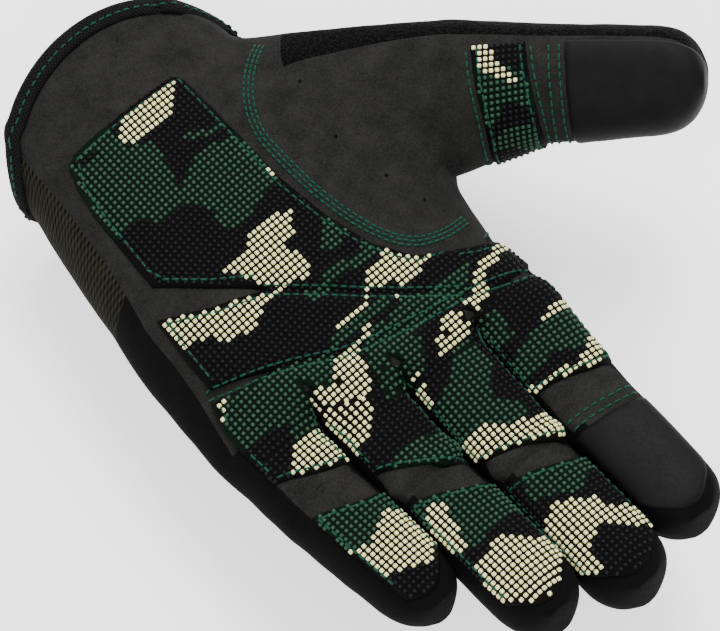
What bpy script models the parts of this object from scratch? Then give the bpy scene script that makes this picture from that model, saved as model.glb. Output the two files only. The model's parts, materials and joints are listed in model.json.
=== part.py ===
"""Full-finger training glove for the left hand, in the shape it has when worn.

The glove lies palm up: +Y runs from the wrist to the fingertips, +Z points out of the palm, and the
thumb is at -X. The origin is the centre of the wrist opening. Each finger and the thumb bend at a base
joint and a middle joint. An empty stands on every joint, with its X axis along the hinge and its Y axis
along the piece beyond it, and the pieces that move are its children, drawn in its own axes.
"""

import math
from collections import namedtuple

import bmesh
import bpy
import numpy as np
from mathutils import Matrix, Vector

MM = 0.001

# Cloth
FABRIC = 1.2 * MM  # suede and knit panels
GRIP = 1.1 * MM  # dotted grip patches sewn on the suede
LAYER_GAP = 0.5 * MM  # between a panel and the patch on it
HINGE_CLEARANCE = 0.8 * MM  # from a hinge's plane to the cloth on either side

# The hand's tube, from the wrist opening to the knuckles. Each station is y, the thumb side's x, the other
# side's x, and the top and bottom z.
HAND_STATIONS = (
    (-16 * MM, -34.0 * MM, 39.5 * MM, 23.5 * MM, -21.0 * MM),
    (20 * MM, -40.0 * MM, 42.5 * MM, 22.5 * MM, -19.5 * MM),
    (65 * MM, -46.5 * MM, 46.5 * MM, 17.5 * MM, -16.0 * MM),
    (110 * MM, -51.0 * MM, 49.0 * MM, 12.0 * MM, -11.5 * MM),
)
HAND_ROUNDNESS = 2.4
HEM_BULGE = 17 * MM  # the hem reaches this far back over the heel of the palm
HEM_WIDTH = 4.6 * MM
HEM_THICKNESS = 2.6 * MM
HEM_PROUD = 0.7 * MM

# Seams round the hand, in degrees from the little finger's side, anticlockwise seen from the fingers
PALM_SEAM = 20
BACK_SEAM = -24
THUMB_SIDE_SEAM = 190
SEAM_GAP = 1.2  # half of the gap at a seam

# Fingers, with their sizes in millimetres and angles in degrees. lean turns a finger towards the thumb,
# and curl is the bend at rest of its two joints. lengths are those of its two segments, and widths are half
# widths at the knuckle, the middle joint and the tip.
Finger = namedtuple("Finger", "name knuckle lean curl lengths widths half_height")
FINGERS = (
    Finger("index", (-40.0, 105.4), -5.0, (3, 7), (41.0, 47.0), (12.2, 11.1, 10.9), 9.6),
    Finger("middle", (-14.3, 105.2), -3.6, (3, 9), (44.0, 48.5), (11.5, 10.9, 10.8), 9.8),
    Finger("ring", (8.9, 99.6), -2.2, (3, 11), (37.0, 53.0), (10.9, 10.4, 10.1), 9.5),
    Finger("little", (34.3, 95.6), 2.2, (3, 7), (25.5, 45.0), (12.2, 10.8, 9.9), 8.8),
)
FINGER_ROUNDNESS = 2.5
KNUCKLE_FLEX = 60  # furthest bend from rest, in degrees
KNUCKLE_EXTEND = 15
MIDDLE_FLEX = 65
MIDDLE_EXTEND = 10
FINGER_PALM_ARC = (40, 140)  # the front panel, in degrees round the finger
FINGER_BACK_ARC = (220, 320)
FINGER_WALL_ARC = (-33, 33)
FINGER_CREASE_ARC = (46, 134)
TIP_ROUND = 15 * MM  # length over which a fingertip closes

# Thumb, in the same units, with its base hinge as (x, y, z). Its base cone leaves the palm at the heel of
# the thumb and ends at the base hinge. The web of cloth towards the index finger makes it wider there, on
# one side.
THUMB = Finger("thumb", (-68.5, 57.4, 13.0), None, (0, 3), (24.5, 45.0), (21.5, 16.2, 14.6), 13.0)
THUMB_ALONG = Vector((-0.69, 0.70, 0.17)).normalized()
THUMB_PAD_NORMAL = Vector((0.506, 0.305, 0.807))
THUMB_WEB = 4.2 * MM
THUMB_BASE_FLEX = 30
THUMB_BASE_EXTEND = 10
THUMB_MIDDLE_FLEX = 40
THUMB_MIDDLE_EXTEND = 10
THUMB_PALM_ARC = (4, 176)
THUMB_BACK_ARC = (184, 356)
THUMB_BAND_ARC = (22, 158)
CONE_BEND = 20 * MM  # how far before the hinge the cone starts to turn towards the palm
CONE_CENTRE = Vector((-20, 52, 4)) * MM
CONE_SIDEWAYS = Vector((0.05, 0.99, -0.10)).normalized()
CONE_UP = Vector((0.12, 0.10, 0.98)).normalized()
CONE_HALF_WIDTH = 36 * MM
CONE_HALF_HEIGHT = 17.5 * MM

# Wrist tab, on the back of the wrist: it closes a slit with hook and loop.
TAB_X = (-24 * MM, 19 * MM)  # free end, sewn end
TAB_Y = (9 * MM, 33 * MM)
TAB_THICKNESS = 1.6 * MM
HOOK_THICKNESS = 1.0 * MM
TAB_OPENS = 120

COLOURS = {
    "suede": (0.045, 0.043, 0.042),
    "stretch": (0.008, 0.008, 0.009),
    "knit": (0.022, 0.022, 0.016),
    "terry": (0.010, 0.010, 0.012),
    "camo": (0.030, 0.080, 0.045),
    "touch": (0.012, 0.012, 0.013),
    "binding": (0.010, 0.010, 0.011),
    "hook": (0.015, 0.015, 0.015),
}
ROUGHNESS = {"touch": 0.45, "camo": 0.6}


def clear_scene():
    for obj in list(bpy.data.objects):
        bpy.data.objects.remove(obj, do_unlink=True)


def new_collection(name, hidden=False):
    collection = bpy.data.collections.new(name)
    bpy.context.scene.collection.children.link(collection)
    collection.hide_render = hidden
    return collection


def material(slot):
    """The slot's material, made the first time that it is asked for."""
    if slot in bpy.data.materials:
        return bpy.data.materials[slot]
    made = bpy.data.materials.new(slot)
    made.use_nodes = True
    shader = made.node_tree.nodes["Principled BSDF"]
    shader.inputs["Base Color"].default_value = (*COLOURS[slot], 1)
    shader.inputs["Roughness"].default_value = ROUGHNESS.get(slot, 0.9)
    shader.inputs["Metallic"].default_value = 0
    return made


def joint_empty(name, matrix, collection):
    empty = bpy.data.objects.new(name, None)
    empty.matrix_world = matrix
    collection.objects.link(empty)
    return empty


def sheet(name, slot, rows, thickness, collection, parent=None, ring=False):
    """A cloth panel through a grid of points on its outer face, given its thickness inwards.

    rows[i][j] is a point: j runs along the panel, and i turns anticlockwise round it. A ring's last row
    joins its first."""
    across, along = len(rows), len(rows[0])
    points = [point for row in rows for point in row]
    faces = []
    for i in range(across if ring else across - 1):
        near, far = i * along, ((i + 1) % across) * along
        faces += [(near + j, near + j + 1, far + j + 1, far + j) for j in range(along - 1)]
    mesh = bpy.data.meshes.new(name)
    mesh.from_pydata(points, [], faces)
    mesh.materials.append(material(slot))
    mesh.shade_smooth()
    mesh.set_sharp_from_angle(angle=math.radians(40))
    obj = bpy.data.objects.new(name, mesh)
    obj.parent = parent
    collection.objects.link(obj)
    solid = obj.modifiers.new("thickness", "SOLIDIFY")
    solid.thickness = thickness
    solid.offset = -1
    return obj


def closed_tube(name, rings, collection):
    """A closed solid through a list of rings of points, used as a cutter."""
    count = len(rings[0])
    shape = bmesh.new()
    loops = [[shape.verts.new(point) for point in ring] for ring in rings]
    for near, far in zip(loops, loops[1:]):
        for i in range(count):
            k = (i + 1) % count
            shape.faces.new((near[i], far[i], far[k], near[k]))
    shape.faces.new(loops[0])
    shape.faces.new(reversed(loops[-1]))
    bmesh.ops.recalc_face_normals(shape, faces=shape.faces)
    mesh = bpy.data.meshes.new(name)
    shape.to_mesh(mesh)
    shape.free()
    obj = bpy.data.objects.new(name, mesh)
    obj.hide_render = True
    obj.display_type = "WIRE"
    collection.objects.link(obj)
    return obj


def cut(obj, cutter):
    boolean = obj.modifiers.new(f"less_{cutter.name}", "BOOLEAN")
    boolean.operation = "DIFFERENCE"
    boolean.solver = "EXACT"
    boolean.object = cutter


def superellipse(degrees, half_width, half_height, roundness):
    """The point of a rounded box's outline at an angle, as (sideways, up)."""
    c, s = math.cos(math.radians(degrees)), math.sin(math.radians(degrees))
    power = 2 / roundness
    return (
        math.copysign(abs(c) ** power, c) * half_width,
        math.copysign(abs(s) ** power, s) * half_height,
    )


def spaced(start, end, count):
    return [float(value) for value in np.linspace(start, end, count)]


# The hand's tube


def hand_size(y):
    """Middle x, half width, height above and depth below the hand's middle plane at y."""
    stations = np.array(HAND_STATIONS)
    left, right, top, bottom = (float(np.interp(y, stations[:, 0], stations[:, k])) for k in (1, 2, 3, 4))
    return (left + right) / 2, (right - left) / 2, top, -bottom


def hand_point(y, degrees, lift=0.0):
    middle, half_width, above, below = hand_size(y)
    height = (above if math.sin(math.radians(degrees)) > 0 else below) + lift
    x, z = superellipse(degrees, half_width + lift, height, HAND_ROUNDNESS)
    return Vector((middle + x, y, z))


def on_hand(x, y, lift, palm=True):
    """The point over (x, y) on the palm, or on the back of the hand."""
    middle, half_width, above, below = hand_size(y)
    inside = max(0.0, 1 - abs((x - middle) / (half_width + lift)) ** HAND_ROUNDNESS)
    height = ((above if palm else below) + lift) * inside ** (1 / HAND_ROUNDNESS)
    return Vector((x, y, height if palm else -height))


def hem_y(degrees):
    """Where the hem is, round the hand: it reaches back over the heel of the palm."""
    return -HEM_BULGE * max(0.0, math.sin(math.radians(degrees))) ** 1.5


def knuckle_y(x):
    """The line of the finger hinges across the hand."""
    knuckles = np.array([digit.knuckle for digit in FINGERS]) * MM
    return float(np.interp(x, knuckles[:, 0], knuckles[:, 1]))


def notch(z, flex, extend):
    """How far from a hinge's plane cloth at height z stays, so that the joint can bend both ways, where
    flex and extend are counted from a straight digit."""
    in_front = z * math.tan(math.radians(flex / 2))
    behind = -z * math.tan(math.radians(extend / 2))
    return HINGE_CLEARANCE + max(in_front, behind, 0.0)


def from_straight(flex, extend, curl):
    """A joint's two limits counted from a straight digit, where they are known from the curl at rest."""
    return flex + curl, extend - curl


def knuckle_limits(digit):
    return from_straight(KNUCKLE_FLEX, KNUCKLE_EXTEND, digit.curl[0])


def hand_end_y(degrees):
    """Where the hand's panels end, short of the finger hinges."""
    edge = hand_point(knuckle_y(0), degrees, LAYER_GAP + GRIP)
    return knuckle_y(edge.x) - notch(edge.z, *knuckle_limits(FINGERS[0]))


def hand_panel(name, slot, start, end, around, along, collection):
    """A panel of the hand between two seams, from the hem's binding to the knuckles."""
    rows = []
    for degrees in spaced(start + SEAM_GAP, end - SEAM_GAP, around):
        first = hem_y(degrees) + HEM_WIDTH + LAYER_GAP
        rows.append([hand_point(y, degrees) for y in spaced(first, hand_end_y(degrees), along)])
    return sheet(name, slot, rows, FABRIC, collection)


def palm_patch(name, left, right, start, end, across, along, collection):
    """A grip patch on the palm. left and right give x at a share of its length, from 0 to 1."""
    rows = []
    for u in spaced(1, 0, across):
        row = []
        for v in spaced(0, 1, along):
            x = left(v) + (right(v) - left(v)) * u
            y = start(x) + (end(x) - start(x)) * v
            row.append(on_hand(x, y, LAYER_GAP + GRIP))
        rows.append(row)
    return sheet(name, "camo", rows, GRIP, collection)


def hand(collection, cone_cutter):
    palm = hand_panel("palm_panel", "suede", PALM_SEAM, THUMB_SIDE_SEAM, 19, 9, collection)
    back = hand_panel("back_panel", "knit", THUMB_SIDE_SEAM, 360 + BACK_SEAM, 15, 8, collection)
    hand_panel("outer_side_panel", "stretch", BACK_SEAM, PALM_SEAM, 5, 8, collection)
    for panel in (palm, back):
        cut(panel, cone_cutter)

    palm_patch(
        "heel_grip",
        left=lambda v: (-12 - 1 * v) * MM,
        right=lambda v: (27 + 5 * v) * MM,
        start=lambda x: 8 * MM,
        end=lambda x: 50 * MM,
        across=7,
        along=6,
        collection=collection,
    )
    palm_patch(
        "middle_grip",
        left=lambda v: (-13 - 7 * v) * MM,
        right=lambda v: (36 + 2 * v) * MM,
        start=lambda x: 53 * MM,
        end=lambda x: 79 * MM,
        across=9,
        along=4,
        collection=collection,
    )
    patch_end = notch(HAND_STATIONS[-1][3] + LAYER_GAP + GRIP, *knuckle_limits(FINGERS[0]))
    palm_patch(
        "knuckle_grip",
        left=lambda v: (-22 - 20 * v) * MM,
        right=lambda v: (38 + 3 * v) * MM,
        start=lambda x: 81 * MM,
        end=lambda x: knuckle_y(x) - patch_end,
        across=12,
        along=4,
        collection=collection,
    )
    hem(collection)
    wrist_tab(collection)


def hem(collection):
    """The binding folded over the edge of the wrist opening, as one ring."""
    rows = []
    for degrees in spaced(0, 360, 37)[:-1]:
        start = hem_y(degrees)
        ys = spaced(start, start + HEM_WIDTH, 3)
        rows.append([hand_point(y, degrees, HEM_PROUD) for y in ys])
    sheet("hem_binding", "binding", rows, HEM_THICKNESS, collection, ring=True)


def wrist_tab(collection):
    """The closing tab with its hook patch, which turn on the sewn end, and the loop patch under them."""
    lifts = {"loop_patch": LAYER_GAP + HOOK_THICKNESS}
    lifts["hook_patch"] = lifts["loop_patch"] + LAYER_GAP + HOOK_THICKNESS
    lifts["wrist_tab"] = lifts["hook_patch"] + LAYER_GAP + TAB_THICKNESS
    free_end, sewn_end = TAB_X
    first, last = TAB_Y
    margin = 2 * MM
    hinge_lift = lifts["wrist_tab"] - TAB_THICKNESS / 2
    hinge = on_hand(sewn_end, (first + last) / 2, hinge_lift, palm=False)
    empty = joint_empty("tab_hinge", Matrix.Translation(hinge), collection)

    def patch(name, slot, x_span, y_span, thickness, parent):
        origin = parent.matrix_world.translation if parent else Vector()
        rows = [
            [on_hand(x, y, lifts[name], palm=False) - origin for y in spaced(*y_span, 3)]
            for x in spaced(*x_span, 7)
        ]
        return sheet(name, slot, rows, thickness, collection, parent)

    inner = (first + margin, last - margin)
    patch("loop_patch", "hook", (free_end + margin, sewn_end - 3 * margin), inner, HOOK_THICKNESS, None)
    patch("hook_patch", "hook", (free_end + margin, -margin), inner, HOOK_THICKNESS, empty)
    patch("wrist_tab", "binding", (free_end, sewn_end), TAB_Y, TAB_THICKNESS, empty)


# Fingers and thumb. A segment is drawn along +Y of its joint's empty, with the pad facing +Z.

Segment = namedtuple("Segment", "length widths heights web closes")


def segment_size(segment, y):
    """Middle x, half width and half height of a segment at y. A closing one rounds off at its tip."""
    share = min(max(y / segment.length, 0.0), 1.0)
    ends = (segment.widths, segment.heights, (segment.web, 0.0))
    width, height, middle = (start + (end - start) * share for start, end in ends)
    if segment.closes:
        rounding = min(max((y - segment.length + TIP_ROUND) / TIP_ROUND, 0.0), 1.0)
        arc = math.sqrt(1 - rounding**2)
        width *= arc
        height *= 0.62 + 0.38 * arc
    return middle, width, height


def segment_point(segment, y, degrees, lift=0.0):
    middle, half_width, half_height = segment_size(segment, y)
    x, z = superellipse(degrees, half_width + lift, half_height + lift, FINGER_ROUNDNESS)
    return Vector((middle + x, y, z))


def along_segment(segment, start, end, count):
    """Places along a segment. They crowd towards a tip that closes, where the outline curves."""
    round_start = segment.length - TIP_ROUND
    if not segment.closes or end <= round_start:
        return spaced(start, end, count)
    turn = math.asin(min((end - round_start) / TIP_ROUND, 1.0))
    curved = [round_start + TIP_ROUND * math.sin(a) for a in spaced(0, turn, 5)]
    return spaced(start, round_start, count)[:-1] + curved


def start_y(segment, degrees, bend, lift):
    return notch(segment_point(segment, 0, degrees, lift).z, *bend)


def end_y(segment, degrees, bend, lift):
    if segment.closes:
        return segment.length - TIP_ROUND * (1 - math.sin(math.radians(68)))
    return segment.length - notch(segment_point(segment, segment.length, degrees, lift).z, *bend)


def segment_panel(name, slot, segment, arc, bends, thickness, where, lift=0.0, across=6, along=5):
    """A panel that runs the whole length of a segment, over an arc of its outline."""
    collection, parent = where
    rows = []
    for degrees in spaced(*arc, across):
        first = start_y(segment, degrees, bends[0], lift)
        last = end_y(segment, degrees, bends[1], lift)
        ys = along_segment(segment, first, last, along)
        rows.append([segment_point(segment, y, degrees, lift) for y in ys])
    return sheet(name, slot, rows, thickness, collection, parent)


def tip_wall(name, segment, bend, where):
    """The side strip that runs up one side of a fingertip, round its end and down the other."""
    collection, parent = where
    rows = []
    for degrees in spaced(*FINGER_WALL_ARC, 4):
        first = start_y(segment, degrees, bend, 0.0)
        ys = along_segment(segment, first, segment.length, 4)
        up = [segment_point(segment, y, degrees) for y in ys]
        down = [Vector((-point.x, point.y, point.z)) for point in reversed(up[:-1])]
        rows.append(up + down)
    return sheet(name, "stretch", rows, FABRIC, collection, parent)


def crease(name, slot, segment, bend, arc, where):
    """The strip behind a joint's notch, round the hinge, so that it clears both sides at every bend."""
    collection, parent = where
    inset = FABRIC + 2 * LAYER_GAP
    middle, half_width, half_height = segment_size(segment, 0.0)
    reach = bend[0] / 2 + 6
    rows = []
    for degrees in spaced(*arc, 5):
        x, radius = superellipse(degrees, half_width - inset, half_height - inset, FINGER_ROUNDNESS)
        turns = [math.radians(a) for a in spaced(-reach, reach, 7)]
        rows.append([Vector((middle + x, radius * math.sin(a), radius * math.cos(a))) for a in turns])
    return sheet(name, slot, rows, FABRIC, collection, parent)


def digit_segments(digit, web=0.0):
    """A digit's two segments, from its base hinge to its tip."""
    base, middle, tip = (width * MM for width in digit.widths)
    height = digit.half_height * MM
    heights = (height, height * 0.95, height * 0.87)
    near = Segment(digit.lengths[0] * MM, (base, middle), heights[:2], web, False)
    far = Segment(digit.lengths[1] * MM, (middle, tip), heights[1:], 0.0, True)
    return near, far


def digit_joints(digit, base, collection):
    """Empties on a digit's two hinges, which move, and one at the middle hinge that stays with the segment
    before it."""
    middle = Matrix.Translation((0, digit.lengths[0] * MM, 0))
    middle = middle @ Matrix.Rotation(math.radians(digit.curl[1]), 4, "X")
    near = joint_empty(f"{digit.name}_base_joint", base, collection)
    far = joint_empty(f"{digit.name}_middle_joint", base @ middle, collection)
    rest = joint_empty(f"{digit.name}_middle_rest", base @ middle, collection)
    return near, far, rest


def finger(digit, collection):
    x, y = digit.knuckle
    lean = Matrix.Rotation(math.radians(digit.lean), 4, "Z")
    curl = Matrix.Rotation(math.radians(digit.curl[0]), 4, "X")
    knuckle = Matrix.Translation((x * MM, y * MM, 0)) @ lean @ curl
    base_joint, middle_joint, middle_rest = digit_joints(digit, knuckle, collection)
    base, tip = (collection, base_joint), (collection, middle_joint)
    near, far = digit_segments(digit)
    knuckle_bend = knuckle_limits(digit)
    middle_bend = from_straight(MIDDLE_FLEX, MIDDLE_EXTEND, digit.curl[1])
    bends = (knuckle_bend, middle_bend)
    tip_bends = (middle_bend, middle_bend)
    name = digit.name
    low, high = FINGER_WALL_ARC

    segment_panel(f"{name}_lower_front", "suede", near, FINGER_PALM_ARC, bends, FABRIC, base)
    segment_panel(f"{name}_lower_back", "knit", near, FINGER_BACK_ARC, bends, FABRIC, base)
    segment_panel(f"{name}_lower_wall_outer", "stretch", near, (low, high), bends, FABRIC, base, across=4)
    inner = (180 + low, 180 + high)
    segment_panel(f"{name}_lower_wall_inner", "stretch", near, inner, bends, FABRIC, base, across=4)
    lift = LAYER_GAP + GRIP
    segment_panel(f"{name}_lower_grip", "camo", near, FINGER_PALM_ARC, bends, GRIP, base, lift)
    pad_name, pad_slot = ("touch_pad", "touch") if name == "index" else ("tip_grip", "camo")
    segment_panel(f"{name}_{pad_name}", pad_slot, far, FINGER_PALM_ARC, tip_bends, FABRIC, tip)
    segment_panel(f"{name}_tip_back", "knit", far, FINGER_BACK_ARC, tip_bends, FABRIC, tip)
    tip_wall(f"{name}_tip_wall", far, middle_bend, tip)

    knuckle_rest = joint_empty(f"{name}_base_rest", knuckle, collection)
    knuckle_where, middle_where = (collection, knuckle_rest), (collection, middle_rest)
    crease(f"{name}_knuckle_crease", "suede", near, knuckle_bend, FINGER_CREASE_ARC, knuckle_where)
    crease(f"{name}_middle_crease", "suede", far, middle_bend, FINGER_CREASE_ARC, middle_where)


def thumb_frame():
    """The thumb's base joint: X along the hinge, Y along the thumb, Z out of its pad."""
    up = (THUMB_PAD_NORMAL - THUMB_PAD_NORMAL.dot(THUMB_ALONG) * THUMB_ALONG).normalized()
    across = THUMB_ALONG.cross(up)
    turn = Matrix((across, THUMB_ALONG, up)).transposed().to_4x4()
    return Matrix.Translation(Vector(THUMB.knuckle) * MM) @ turn


def cone_point(share, degrees, lift, frame, cut_short=True):
    """A point of the cone that joins the thumb to the palm, from 0 inside the palm to 1 at the hinge."""
    wide, high = superellipse(degrees, CONE_HALF_WIDTH + lift, CONE_HALF_HEIGHT + lift, 2.2)
    inside = CONE_CENTRE + CONE_SIDEWAYS * wide + CONE_UP * high
    near = digit_segments(THUMB, THUMB_WEB)[0]
    edge = segment_point(near, 0.0, degrees, lift)
    limits = from_straight(THUMB_BASE_FLEX, THUMB_BASE_EXTEND, THUMB.curl[0])
    short = notch(edge.z, *limits) if cut_short else 0.0
    outside = frame @ Vector((edge.x, -short, edge.z))
    bend = frame @ Vector((edge.x * 1.1, -CONE_BEND - short, edge.z * 1.1))
    return inside * (1 - share) ** 2 + bend * 2 * share * (1 - share) + outside * share**2


def thumb(collection, hand_cutter):
    frame = thumb_frame()
    base_bend = from_straight(THUMB_BASE_FLEX, THUMB_BASE_EXTEND, THUMB.curl[0])
    middle_bend = from_straight(THUMB_MIDDLE_FLEX, THUMB_MIDDLE_EXTEND, THUMB.curl[1])
    for name, slot, arc in (
        ("thumb_root_front", "suede", THUMB_PALM_ARC),
        ("thumb_root_back", "terry", THUMB_BACK_ARC),
    ):
        rows = [
            [cone_point(share, degrees, 0.0, frame) for share in spaced(0.1, 1, 8)]
            for degrees in spaced(*arc, 11)
        ]
        cut(sheet(name, slot, rows, FABRIC, collection), hand_cutter)

    base_joint, middle_joint, middle_rest = digit_joints(THUMB, frame, collection)
    base, tip = (collection, base_joint), (collection, middle_joint)
    near, far = digit_segments(THUMB, THUMB_WEB)
    bends = (base_bend, middle_bend)
    tip_bends = (middle_bend, middle_bend)
    segment_panel("thumb_lower_front", "suede", near, THUMB_PALM_ARC, bends, FABRIC, base, across=9)
    segment_panel("thumb_lower_back", "terry", near, THUMB_BACK_ARC, bends, FABRIC, base, across=9)
    segment_panel("thumb_band", "camo", near, THUMB_BAND_ARC, bends, GRIP, base, LAYER_GAP + GRIP, across=8)
    segment_panel("thumb_touch_pad", "touch", far, THUMB_PALM_ARC, tip_bends, FABRIC, tip, across=9)
    segment_panel("thumb_tip_back", "terry", far, THUMB_BACK_ARC, tip_bends, FABRIC, tip, across=9)
    crease("thumb_middle_crease", "suede", far, middle_bend, THUMB_BAND_ARC, (collection, middle_rest))
    base_rest = joint_empty("thumb_base_rest", frame, collection)
    crease("thumb_base_crease", "suede", near, base_bend, THUMB_BAND_ARC, (collection, base_rest))


def thumb_cutters(cutters):
    """The space that the cone takes from the hand, and the space that the hand takes from the cone."""
    frame = thumb_frame()
    degrees_round = spaced(0, 360, 25)[:-1]
    lift = LAYER_GAP
    cone = closed_tube(
        "cone_space",
        [
            [cone_point(share, a, lift, frame, cut_short=False) for a in degrees_round]
            for share in spaced(0, 1, 8)
        ],
        cutters,
    )
    ys = spaced(-30 * MM, 125 * MM, 15)
    hand_space = closed_tube(
        "hand_space",
        [[hand_point(y, a, LAYER_GAP) for a in spaced(0, 360, 49)[:-1]] for y in ys],
        cutters,
    )
    return cone, hand_space


def main():
    clear_scene()
    collection = new_collection("glove")
    cutters = new_collection("cutters", hidden=True)
    cone_cutter, hand_cutter = thumb_cutters(cutters)
    hand(collection, cone_cutter)
    for digit in FINGERS:
        finger(digit, collection)
    thumb(collection, hand_cutter)


main()
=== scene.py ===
"""Looks of a full-finger training glove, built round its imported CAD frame.

The skin is one subdivision cage of quads, cut into the pieces that each CAD body carries. Patches are cut
from the subdivided skin along curves and raised, and dots and stitches are set on the surface that results.
Lengths are in millimetres here, and become metres when a mesh is made.
"""

import functools
import json
import math

import bpy
import numpy as np
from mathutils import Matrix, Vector
from mathutils.bvhtree import BVHTree


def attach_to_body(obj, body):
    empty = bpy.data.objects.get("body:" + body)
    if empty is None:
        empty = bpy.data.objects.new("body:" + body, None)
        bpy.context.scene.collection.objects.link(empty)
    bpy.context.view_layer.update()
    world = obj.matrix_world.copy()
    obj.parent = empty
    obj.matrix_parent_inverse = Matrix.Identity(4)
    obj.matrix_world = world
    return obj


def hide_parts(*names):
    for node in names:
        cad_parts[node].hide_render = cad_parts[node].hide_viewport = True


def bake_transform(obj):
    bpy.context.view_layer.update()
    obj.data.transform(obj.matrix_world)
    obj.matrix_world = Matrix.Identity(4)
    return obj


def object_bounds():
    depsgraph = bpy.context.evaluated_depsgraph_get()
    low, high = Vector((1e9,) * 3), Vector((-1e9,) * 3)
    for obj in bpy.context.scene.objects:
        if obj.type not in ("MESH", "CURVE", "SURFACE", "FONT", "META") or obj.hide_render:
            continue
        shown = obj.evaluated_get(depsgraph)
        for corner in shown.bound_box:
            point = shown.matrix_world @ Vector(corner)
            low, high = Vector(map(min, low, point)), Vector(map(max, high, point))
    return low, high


MM = 0.001

# The hand's tube: y, the thumb side's x, the other side's x, the top z and the bottom z
HAND_STATIONS = np.array(
    [
        (-20, -33.5, 38.5, 23.5, -21.0),
        (5, -37.5, 39.2, 22.9, -20.1),
        (25, -40.7, 42.8, 21.9, -19.1),
        (45, -43.6, 45.6, 19.7, -17.5),
        (65, -46.5, 48.3, 17.5, -16.0),
        (85, -48.5, 49.0, 15.1, -14.0),
        (110, -51.0, 49.0, 12.0, -11.5),
    ]
)
HAND_ROUNDNESS = 2.4
HEM_BULGE = 20
HEM_SHARPNESS = (1.0, 1.8)  # of the bulge's flanks, at the little finger's side and at the thumb's

# Digits: from the axis to the thumb's side and to the other side, each at the base, the middle joint and the
# tip, and the half height at the base
FINGER_NAMES = ("little", "ring", "middle", "index")
SIZES = {
    "index": ((12.2, 11.6, 12.6), (13.0, 12.8, 11.2), 9.6),
    "middle": ((13.0, 12.8, 13.3), (11.6, 11.0, 10.9), 9.8),
    "ring": ((11.2, 11.2, 11.8), (13.2, 12.3, 11.3), 9.5),
    "little": ((13.2, 12.0, 10.8), (14.4, 13.8, 10.8), 8.8),
    "thumb": ((21.8, 16.7, 15.2), (21.0, 15.8, 11.8), 13.0),
}
HEIGHT_SHARES = (1, 0.95, 0.87)  # of that height, at the base, the middle joint and the tip
DIGIT_ROUNDNESS = 2.5
TIP_ROUND = 13  # length of the rounded tip
TIP_ARC = (2.4, 0.46)  # powers of its outline
TIP_HEIGHTS = (0.62, 0.38)  # of the height: what stays at the very tip, and what rounds off
THUMB_WEB = 3.6  # how far the thumb's middle lies to the palm's side at its base
JOINT_EASE = 5  # half the length over which a digit's axis turns at its middle joint
KNUCKLE_ZONE = {"index": (2, 13), "middle": (2, 13), "ring": (6, 17), "little": (2, 13)}
MIDDLE_REACH = {"index": 9, "middle": 9, "ring": 8.5, "little": 8}
THUMB_ZONE_DIRECTION = np.array((-0.93, 0.33, 0.15))
THUMB_ZONE = (-8, 8)
THUMB_SPLIT = 20
THUMB_MIDDLE_ZONE = (20.5, 34)

# Cage
HAND_COLUMNS = 36
HAND_ROWS = (0, 0.055, 0.12, 0.20, 0.28, 0.36, 0.44, 0.52, 0.60, 0.68, 0.76, 0.835, 0.89, 0.945, 1.0)
BLOCK_ROWS = (2, 11)  # rows and columns of the block that the thumb grows from
BLOCK_COLUMNS = (12, 20)
THUMB_COLUMN = 18  # along the thumb's side of the hand
EASE_ROUNDS = 60  # of evening out the hand's free points
OLIVE_END = 0.52  # as a share of the way from the hem to the webs
FINGER_ANGLES = (0, 38, 62, 90, 118, 142, 180, 218, 242, 270, 298, 322)
FIRST_RING = 8.0  # beyond the knuckle zone's start
FINGER_RINGS = (5.5, 5.2)  # spacing before the split and beyond it
TIP_RINGS = (22, 42, 58, 71, 81)  # degrees round the tip
TIP_WALL = 4  # the walls close in this far beyond the tip patch's start
ROOT_RINGS = (0.16, 0.32, 0.48, 0.64, 0.82, 1.0)  # shares of the way along the thumb's root
ROOT_LEAD = (3, 17)  # how far the thumb's root runs straight before its base, least and added on the outside
TERRY_EDGE = 142  # degrees round the thumb at which the terry starts
ROOT_TERRY_EDGE = 165
# Cloth coordinates: across each column of the hand, hem to webs, a finger's and the thumb's columns, the root
HAND_CLOTH, HAND_CLOTH_LENGTH, FINGER_CLOTH, THUMB_CLOTH, ROOT_CLOTH = 5.8, 110, 6.0, 3.4, 40
WEBS = {"ring": (19.2, 98.1), "middle": (-2.8, 108.0), "index": (-26.7, 110.4)}  # on its little finger's side
LITTLE_EDGE = (44.6, 97.0)
INDEX_EDGE = (-50.2, 107.0)
WEB_COLUMNS = (1, 5, 9, 13, 17)
WEB_ENDS = (LITTLE_EDGE, *WEBS.values(), INDEX_EDGE)
HEM_X = (33.5, 18.5, 3.5, -11.0, -26.0)  # of those columns at the hem
SIDE_SEAM = ((0, 0.25, 0.5, 0.57, 0.8, 1), (33.5, 34.5, 37, 39.5, 41, LITTLE_EDGE[0]))  # share, x
PALM_LOOP = (
    (-46.5, 94), (-37, 92), (-25, 80), (-17.5, 66), (-15, 50), (-18.5, 33), (-25, 17), (-34.5, 6.5),
)
BACK_LOOP = ((-34.5, 6.5), (-31, 16), (-27, 32), (-26, 50), (-29, 68), (-36, 84), (-46, 93))
LOOP_TOP = (-49.4, 94.0)
LOOP_BOTTOM = (-36.6, 4.0)

CAMERA_AZIMUTH = 138.7
CAMERA_ELEVATION = 67.5
CAMERA_DISTANCE = 750
PIXELS_PER_MM = 3.62
IMAGE_WIDTH = 720
SENSOR = 36
AIM = (63.54, -55.39)  # from the origin to the middle of the view, along its right and up
FLOOR_SIDE = 3.0
FLOOR_TOP = -0.03
WORLD_LIGHT = 0.72
LIGHTS = (("key", (-0.55, -0.35, 1.0), 0.7, 20), ("fill", (0.6, 0.5, 0.9), 1.0, 8))  # place, size, watts
LIGHT_AIM = (0, 0.05, 0)

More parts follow.
